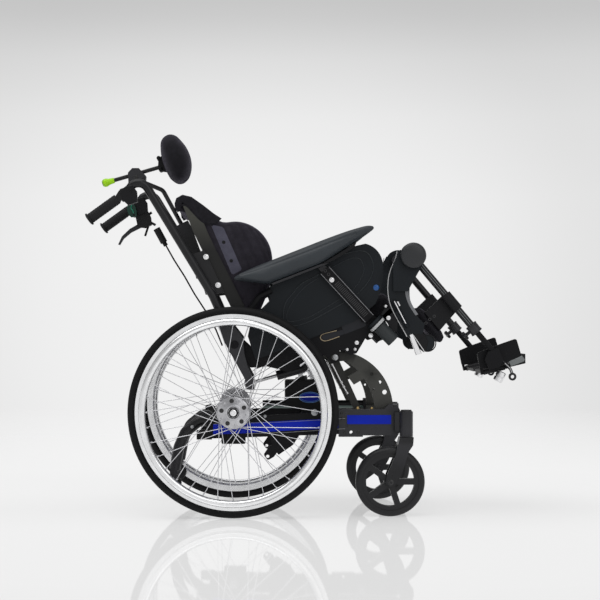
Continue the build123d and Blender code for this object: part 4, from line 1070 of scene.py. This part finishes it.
# ---- wheels
for hand in SIDES:
    k = Kit(hand)
    tread = [
        (0.0, 302.5), (2.6, 302.4), (3.1, 301.2), (4.3, 301.2), (4.8, 302.3), (8.3, 301.6), (8.8, 300.4),
        (9.9, 300.2), (10.4, 301.0),
    ]
    wall = [
        (13.4, 299.0), (16.0, 295.6), (17.1, 292.2), (17.45, 290.6), (17.4, 289.0), (16.6, 286.6),
        (15.0, 284.4), (12.6, 283.1), (12.1, 281.0), (8.0, 280.6),
    ]
    half = tread + wall
    section = [(r, d) for d, r in half] + [(r, -d) for d, r in half[:0:-1]]
    k.hoop(*HUB, WHEEL_Y, section, 160)
    tyre = k.done("rear_tyre_tread", "rear_wheel", "tyre_black")
    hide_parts(f"rear_tyre_{hand}")

    def on_wheel(radius, angle, y=WHEEL_Y):
        return k.at(HUB[0] + radius * math.cos(angle), y, HUB[1] + radius * math.sin(angle))

    for a in turns(36):
        k.turned(on_wheel(246, a), on_wheel(260, a), [(0, 1.3), (0.6, 1.9), (9, 2.0), (9.6, 2.7), (13, 2.8)], 8)
    stem = [(0, 1.6), (1, 2.9), (9, 2.9), (10, 2.2), (27, 2.2), (28, 4.0)]
    k.turned(on_wheel(232, VALVE, WHEEL_Y + 4), on_wheel(262, VALVE, WHEEL_Y + 4), stem, 12)
    k.done("spoke_nipples", "rear_wheel", "bright_alu", "spoke_steel")
    # Dark discs on the hub face stand in for its cut-outs: painted shade where the holes would be. The hexagon
    # nut and its ring are real dark parts.
    for a in turns(5):
        x, z = HUB[0] + 34 * math.cos(a + 0.45), HUB[1] + 34 * math.sin(a + 0.45)
        k.knob(x, z, HUB_FACE + 0.5, [(0, 6.6), (0.9, 6.4), (1.0, 5.6), (0.5, 5.0)], 20)
    k.knob(*HUB, 308, [(-0.5, 15.6), (1.0, 15.6), (2.6, 14.2), (3.2, 11.0), (2.4, 10.4)], 6)
    k.hoop(*HUB, 307, [(15.2, 0), (17.4, 0), (17.4, 1.6), (15.2, 2.2)], 48)
    k.done("hub_cutout_shade_and_nut", "rear_wheel", "bright_alu", "screw_dark")
    k.hoop(*HUB, HUB_FACE - 1, [(22.5, 0), (45.2, 0), (45.2, 1.0), (44.0, 1.5), (24.5, 1.9), (22.5, 2.6)], 72)
    for a in turns(5):
        k.bolt(HUB[0] + 37 * math.cos(a + 1.08), HUB[1] + 37 * math.sin(a + 1.08), HUB_FACE + 0.4, 2.6, 2.2)
    k.done("hub_face", "rear_wheel", "bright_alu", "hub_polish")
    k.knob(*HUB, 314.6, [(0, 9.4), (1.1, 9.2), (2.0, 7.8), (2.0, 4.4), (1.0, 4.0)], 32)
    k.done("axle_end", "chassis", "steel", "bolt_bright")

    k.bolt(241.5, 100, 268, 7, 5)
    k.done("castor_bolts", "castor_fork", "steel", "screw_dark")
    cap = [(-0.4, 17.5), (1.6, 17.2), (3.6, 13.5), (4.2, 6)]
    k.turned(k.at(288.5, 240, 302), k.at(288.5, 240, 320), cap, 32)
    k.done("castor_caps", "chassis", "steel", "screw_dark")

# ---- seat details
for hand in SIDES:
    k = Kit(hand)
    upper = [
        (37, 700), (-15, 672), (-39, 645), (-58, 621), (-67, 590), (-62, 558), (-33, 550), (3, 560), (46, 582),
        (110, 618),
    ]
    # Raised contour lines on the guard; their paler finish is a painted highlight along the ridges.
    k.line(upper, GUARD_OUT + 0.2, 1.7)
    k.line(
        [(34, 689), (-3, 664), (-33, 631), (-51, 600), (-57, 576), (-48, 562), (0, 572), (42, 594), (96, 627)],
        GUARD_OUT + 0.1, 1.3,
    )
    k.line(
        [
            (46, 732), (91, 752), (128, 764), (161, 768), (182, 757), (194, 730), (191, 700), (173, 669),
            (140, 634),
        ],
        GUARD_OUT + 0.2, 1.7,
    )
    k.line(
        [(64, 713), (91, 729), (131, 746), (154, 745), (164, 730), (167, 709), (155, 681), (134, 652)],
        GUARD_OUT + 0.1, 1.3,
    )
    k.done("guard_contours", "seat", "guard_plastic", "guard_edge")
    k.knob(203, 661, GUARD_OUT, [(-0.5, 9), (1.2, 8.6), (2.6, 6.6), (3.1, 3)], 24)
    k.done("guard_button", "seat", "royal_blue", "button_blue")
    tray = [
        down(TILT, SEAT_RISE, u, v)
        for u, v in ((64, 259), (120, 265), (168, 275), (182, 289), (160, 284), (64, 266.5))
    ]
    k.plate(tray, 227, 262, 1.2)
    k.done("arm_pad_tray", "armrest", "cover_black")
    for lift in (-15.6, 15.6):
        a, b = down(POST_TOP, POST_SLOPE, 22, lift), down(POST_TOP, POST_SLOPE, 212, lift)
        k.tube([k.spot(a, 240), k.spot(b, 240)], 0.9, 6)
    k.done("post_edges", "seat", "frame_black", "edge_grey")
    for i in range(24):
        d = 72 + 5.4 * i
        tooth = [down(POST_TOP, POST_SLOPE, d + u, v) for u, v in ((0, -9), (2.6, -9), (2.6, 9), (0, 9))]
        k.plate(tooth, 239.6, 241.0, 0.35)
    for d in (24, 38):
        x, z = down(POST_TOP, POST_SLOPE, d)
        k.hoop(x, z, 239.6, [(3.0, 0), (4.6, 0), (4.6, 0.9), (3.0, 1.1)], 20)
    k.done("post_rack", "seat", "frame_black", "screw_dark")
    k.bolt(73, 683, 240.4, 5.6, 3.6)
    k.bolt(147, 501, RAIL_OUT, 4.6, 3)
    k.bolt(142, 482, RAIL_OUT, 3.2, 2.4)
    k.bolt(119, 481, RAIL_OUT, 3.0, 2.4)
    k.bolt(187, 522, 224, 5.0, 3.4)
    k.done("seat_bolts", "seat", "steel", "bolt_bright")
    slot = [(88, 536), (66, 531), (47, 525), (41, 517), (45, 509), (56, 506), (74, 511), (96, 519)]
    k.line(slot, 216.3, 1.15)
    k.done("rail_slot_edge", "seat", "steel", "slot_tan")
    floor_of_slot = [
        (90, 534), (66, 529), (49, 523), (44, 517), (47, 511), (56, 508), (74, 513), (98, 521), (120, 530),
        (112, 541),
    ]
    k.plate(floor_of_slot, 215.6, 216.5, 0.3)
    plate = [
        down((106, 538), SEAT_RISE, u, v)
        for u, v in ((0, -14), (66, -14), (70, -10), (70, 10), (66, 14), (0, 14))
    ]
    k.plate(plate, 215.7, 217.0, 0.5)
    k.done("rail_plate", "seat", "frame_black", "plate_blank")
    a, b = down(SOCKET, 45, -30), down(SOCKET, 45, 0)
    top, foot = k.spot(a, SOCKET_Y), k.spot(b, SOCKET_Y)
    k.ring(top, foot, [(23.4, -4.2), (25.6, -3.2), (26.2, 0), (25.6, 3.2), (23.4, 4.2)], 56)
    k.done("swing_hub_edge", "legrest", "steel", "edge_light")
    k.bolt(236, 573, 258, 4.8, 3.4)
    k.bolt(229, 607, 246, 3.0, 2.4)
    k.done("swing_hub_bolts", "legrest", "steel", "bolt_bright")

# ---- legrest details
for hand in SIDES:
    k = Kit(hand)
    k.line([(262, 765), (256, 742), (243, 712), (236, 681), (236, 640), (248, 597), (290, 519)], 246.4, 1.3)
    k.line([(308, 524), (342, 474)], 247.2, 1.2, False)
    k.done("hanger_edges", "legrest", "steel", "edge_light")
    front = ((309, 704), (298, 690), (295, 668), (296, 640), (305, 612), (323, 583))
    rear = ((303, 706), (289, 690), (285, 668), (286, 640), (296, 610), (315, 580))
    front, rear = (curve_points([k.at(x, 247, z) for x, z in line], 6) for line in (front, rear))
    k.plate([(q.x * MM, q.z * MM) for q in front + rear[::-1]], 244.5, 247.4, 0.3)
    k.done("hanger_band", "legrest", "guard_plastic", "band_grey")
    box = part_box(f"legrest_hanger_{hand}")
    cheek = max(abs(box[0][1]), abs(box[1][1])) * MM
    dome = [(-2, 36.9), (1.5, 37.2), (4.5, 36.0), (7.5, 32.5), (9.6, 27), (11.0, 19), (11.8, 10), (12.0, 2)]
    k.knob(KNEE[0], KNEE[1], cheek, dome, 48)
    k.done("knee_dome", "legrest", "guard_plastic", "knee_grey")
    # The thin bright rod along the elevation rod is a painted highlight; the short turned collar beside it is a
    # real fitting.
    k.tube([k.at(253, 257, 621), k.at(286, 257, 557)], 1.7)
    k.turned(k.at(262, 250, 621), k.at(270, 250, 606), [(0, 2.2), (1, 3.4), (15, 3.4), (16, 2.2)], 14)
    k.done("elevation_rod_highlight_and_collar", "legrest", "steel", "bolt_bright")
    if hand == "right":
        k.plate([(297, 524), (307, 527), (333, 470), (317, 465)], 226, 246.5, 1.0)
        k.done("hanger_end", "legrest", "steel", "bolt_bright")
    k.plate([(310, 526), (338, 474), (345, 478), (352, 506), (340, 527)], 228, 246.8, 0.8)
    k.hoop(350, 500, 246, [(22.6, -2), (25.6, -1.6), (25.6, 1), (22.6, 1.4)], 48)
    k.plate([(215, 583), (228, 604), (250, 598), (266, 566), (262, 530), (244, 536), (236, 556)], 227, 243, 1.0)
    k.done("hanger_foot", "legrest", "cover_black")

    def leg(d, lift=0.0):
        return down(KNEE, LEG_SLOPE, d, lift)

    # Thin raised beads along the leg tube in a paler grey: a painted highlight along the tube's ridges.
    for lift, lo, hi in ((3.4, 38, 146), (-3.0, 38, 146), (3.4, 205, 263), (-3.0, 205, 263)):
        a, b = leg(lo, lift), leg(hi, lift)
        y = LEG_Y + math.sqrt(11 * 11 - lift * lift) - 0.15
        k.tube([k.spot(a, y), k.spot(b, y)], 0.75, 6)
    k.done("leg_tube_ridge_highlights", "leg_tube", "frame_black", "edge_mid")
    for a, b in ((262, 267), (287, 292)):
        p, q = leg(a), leg(b)
        k.turned(k.spot(p, LEG_Y), k.spot(q, LEG_Y), [(0, 16), (0.8, 18), (4.2, 18), (5, 16)], 28)
    p, q = leg(277, -10), leg(277, -46)
    k.turned(k.spot(p, LEG_Y - 6), k.spot(q, LEG_Y - 10), [(0, 5), (16, 5), (18, 8), (21, 8.4)], 16)
    way = (k.spot(q, LEG_Y - 10) - k.spot(p, LEG_Y - 6)).normalized()
    turn = way.to_track_quat("Z", "Y")
    star = []
    for dist, grow in ((17.5, 0.82), (19, 1.0), (25, 1.0), (26.8, 0.8)):
        loop = []
        for t in turns(40):
            r = (11.2 + 2.6 * math.cos(5 * t)) * grow
            loop.append(k.spot(p, LEG_Y - 6) + turn @ polar(r, t, dist))
        star.append(loop)
    k.skin(star)
    k.done("leg_clamp", "leg_tube", "frame_black")
    for x, z in ((372, 578), (359, 569), (348, 558)):
        k.hoop(x, z, 221.3, [(2.6, -0.5), (4.4, -0.5), (4.4, 0.8), (2.6, 1.0)], 20)
    k.done("calf_holes", "calf_pad", "cover_black", "screw_dark")

    low, high = k.at(557, 214, 388), k.at(572, 214, 418)
    collar = [(0, 10), (1.5, 14), (12, 14.5), (13, 12.5), (15, 12.5), (16, 14.5), (29, 14.5), (31, 11.5)]
    k.turned(low, high, collar, 32)
    k.done("foot_adjuster", "foot_tube", "steel", "bolt_bright")
    k.tube([k.at(566, 213, 452), k.at(578, 221, 441), k.at(594, 224, 424), k.at(599, 224, 411)], 4.4, 12)
    k.hoop(600, 402, 222, [(5.2, -3), (9.6, -3.6), (11.4, -1.6), (11.4, 3.4), (9.6, 5.2), (5.2, 4.6)], 36)
    k.done("foot_hook", "foot_tube", "frame_black")
    # A thin pale bead along the top of the black hook: a painted highlight.
    k.tube([k.at(578, 225.6, 441), k.at(592, 228.4, 427), k.at(598, 228.6, 414)], 1.0)
    k.done("foot_hook_highlight", "foot_tube", "steel", "edge_light")
    k.plate([(590, 446), (628, 463), (637, 452), (633, 446), (596, 432)], 212, 222, 0.8)
    k.done("foot_bar", "foot_tube", "steel", "edge_mid")

# ---- back details
for hand in SIDES:
    k = Kit(hand)
    strip = [
        (-276, 840), (-270, 843), (-246, 838), (-240, 834), (-188, 716), (-191, 710), (-212, 699), (-218, 702),
    ]
    k.plate(strip, 209.8, 211.7, 0.7)
    k.done("back_side_strip", "back", "cushion_cloth", "strip_cloth")
    for x, z in ((-240, 793), (-218, 739)):
        k.knob(x, z, 211.5, [(-0.3, 5.2), (0.7, 5.0), (1.3, 3.8), (1.0, 2.4)], 20)
    k.done("back_snaps", "back", "cover_black")
    bead = [(-368, 900), (-349, 899), (-330, 880), (-312, 861), (-299, 851), (-286, 845), (-272, 842)]
    k.line(bead, 211.5, 2.3)
    k.done("back_side_piping", "back", "cushion_cloth", "pad_black")
    roll = [
        (-383, 905), (-378, 921), (-360, 931), (-334, 925), (-300, 901), (-268, 876), (-246, 862),
        (-262, 846), (-285, 845), (-301, 852), (-322, 871), (-349, 901), (-362, 908), (-366, 884),
        (-374, 880), (-381, 890),
    ]
    k.plate(roll, 205, 214.5, 2.4)
    k.done("back_side_roll", "back", "cushion_cloth", "pad_black")
    clamp = [(-540, 934), (-523, 952), (-503, 956), (-490, 938), (-488, 907), (-515, 898), (-534, 915)]
    k.plate(clamp, 222.5, 251.5, 2.0)
    k.bolt(-507, 940, 251, 4.4, 3)
    k.done("handle_clamp", "back", "cover_black")
    k.bolt(-291, 750, 226, 6.2, 4)
    k.bolt(-256, 668, 226, 6.2, 4)
    k.done("cane_bolts", "back", "steel", "bolt_bright")
    for i in range(11):
        d = 38 + 8.2 * i
        a, b = down(HANDLE, HANDLE_SLOPE, d), down(HANDLE, HANDLE_SLOPE, d + 5)
        rib = [(14.6, 0), (15.3, 0.6), (15.6, 2.2), (15.3, 3.8), (14.6, 4.4)]
        k.ring(k.spot(a, CANE_Y), k.spot(b, CANE_Y), rib, 28)
    a, b = down(HANDLE, HANDLE_SLOPE, 126), down(HANDLE, HANDLE_SLOPE, 136)
    end = [(0, 14.8), (1.5, 16.4), (5.5, 16.8), (7.5, 15.2), (8.4, 10)]
    k.turned(k.spot(a, CANE_Y), k.spot(b, CANE_Y), end, 32)
    k.done("grip_ribs", "push_handle", "rubber_black")

# ---- headrest details
BAR_MID = (-505.0, 1010.5)
BAR_SLOPE = -16.3
k = Kit()
a, b = down(BAR_MID, BAR_SLOPE, -73), down(BAR_MID, BAR_SLOPE, -110)
k.turned(
    k.spot(a, 0), k.spot(b, 0),
    [(0, 7.4), (0.4, 8.3), (8, 8.8), (16, 9.6), (24, 12.5), (30, 12.4), (34.5, 10.2), (37.0, 6.5), (37.8, 2.5)],
    32,
)
k.done("headrest_bar_cap", "headrest_bar", "green_plastic", "lime_plastic")
for y in (-17, 17):
    k.plate(
        [(-441, 1050), (-433, 1062), (-418, 1058), (-410, 1036), (-417, 1016), (-432, 1018), (-442, 1032)],
        y - 2.5, y + 2.5, 0.7,
    )
for x, z in ((-440, 1056), (-434, 1022)):
    k.knob(x, z, -24, [(0, 5), (1, 6.4), (9, 6.4), (10, 4), (38, 4), (39, 6.4), (47, 6.4), (48, 5)], 18)
k.done("headrest_hinge", "headrest_pad", "cover_black")
k.bolt(-508, 999, 16, 5, 3.5)
k.done("headrest_clamp_bolt", "headrest_post", "steel", "screw_dark")
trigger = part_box("release_trigger")
ty = trigger[0][1] * MM - 0.2
# A pale green bead on the trigger's inner face: a painted highlight streak.
k.line([(-537, 932), (-540, 920), (-534, 912), (-532, 903)], -ty, 1.7)
k.done("trigger_highlight_rib", "release_trigger", "green_plastic", "green_light")
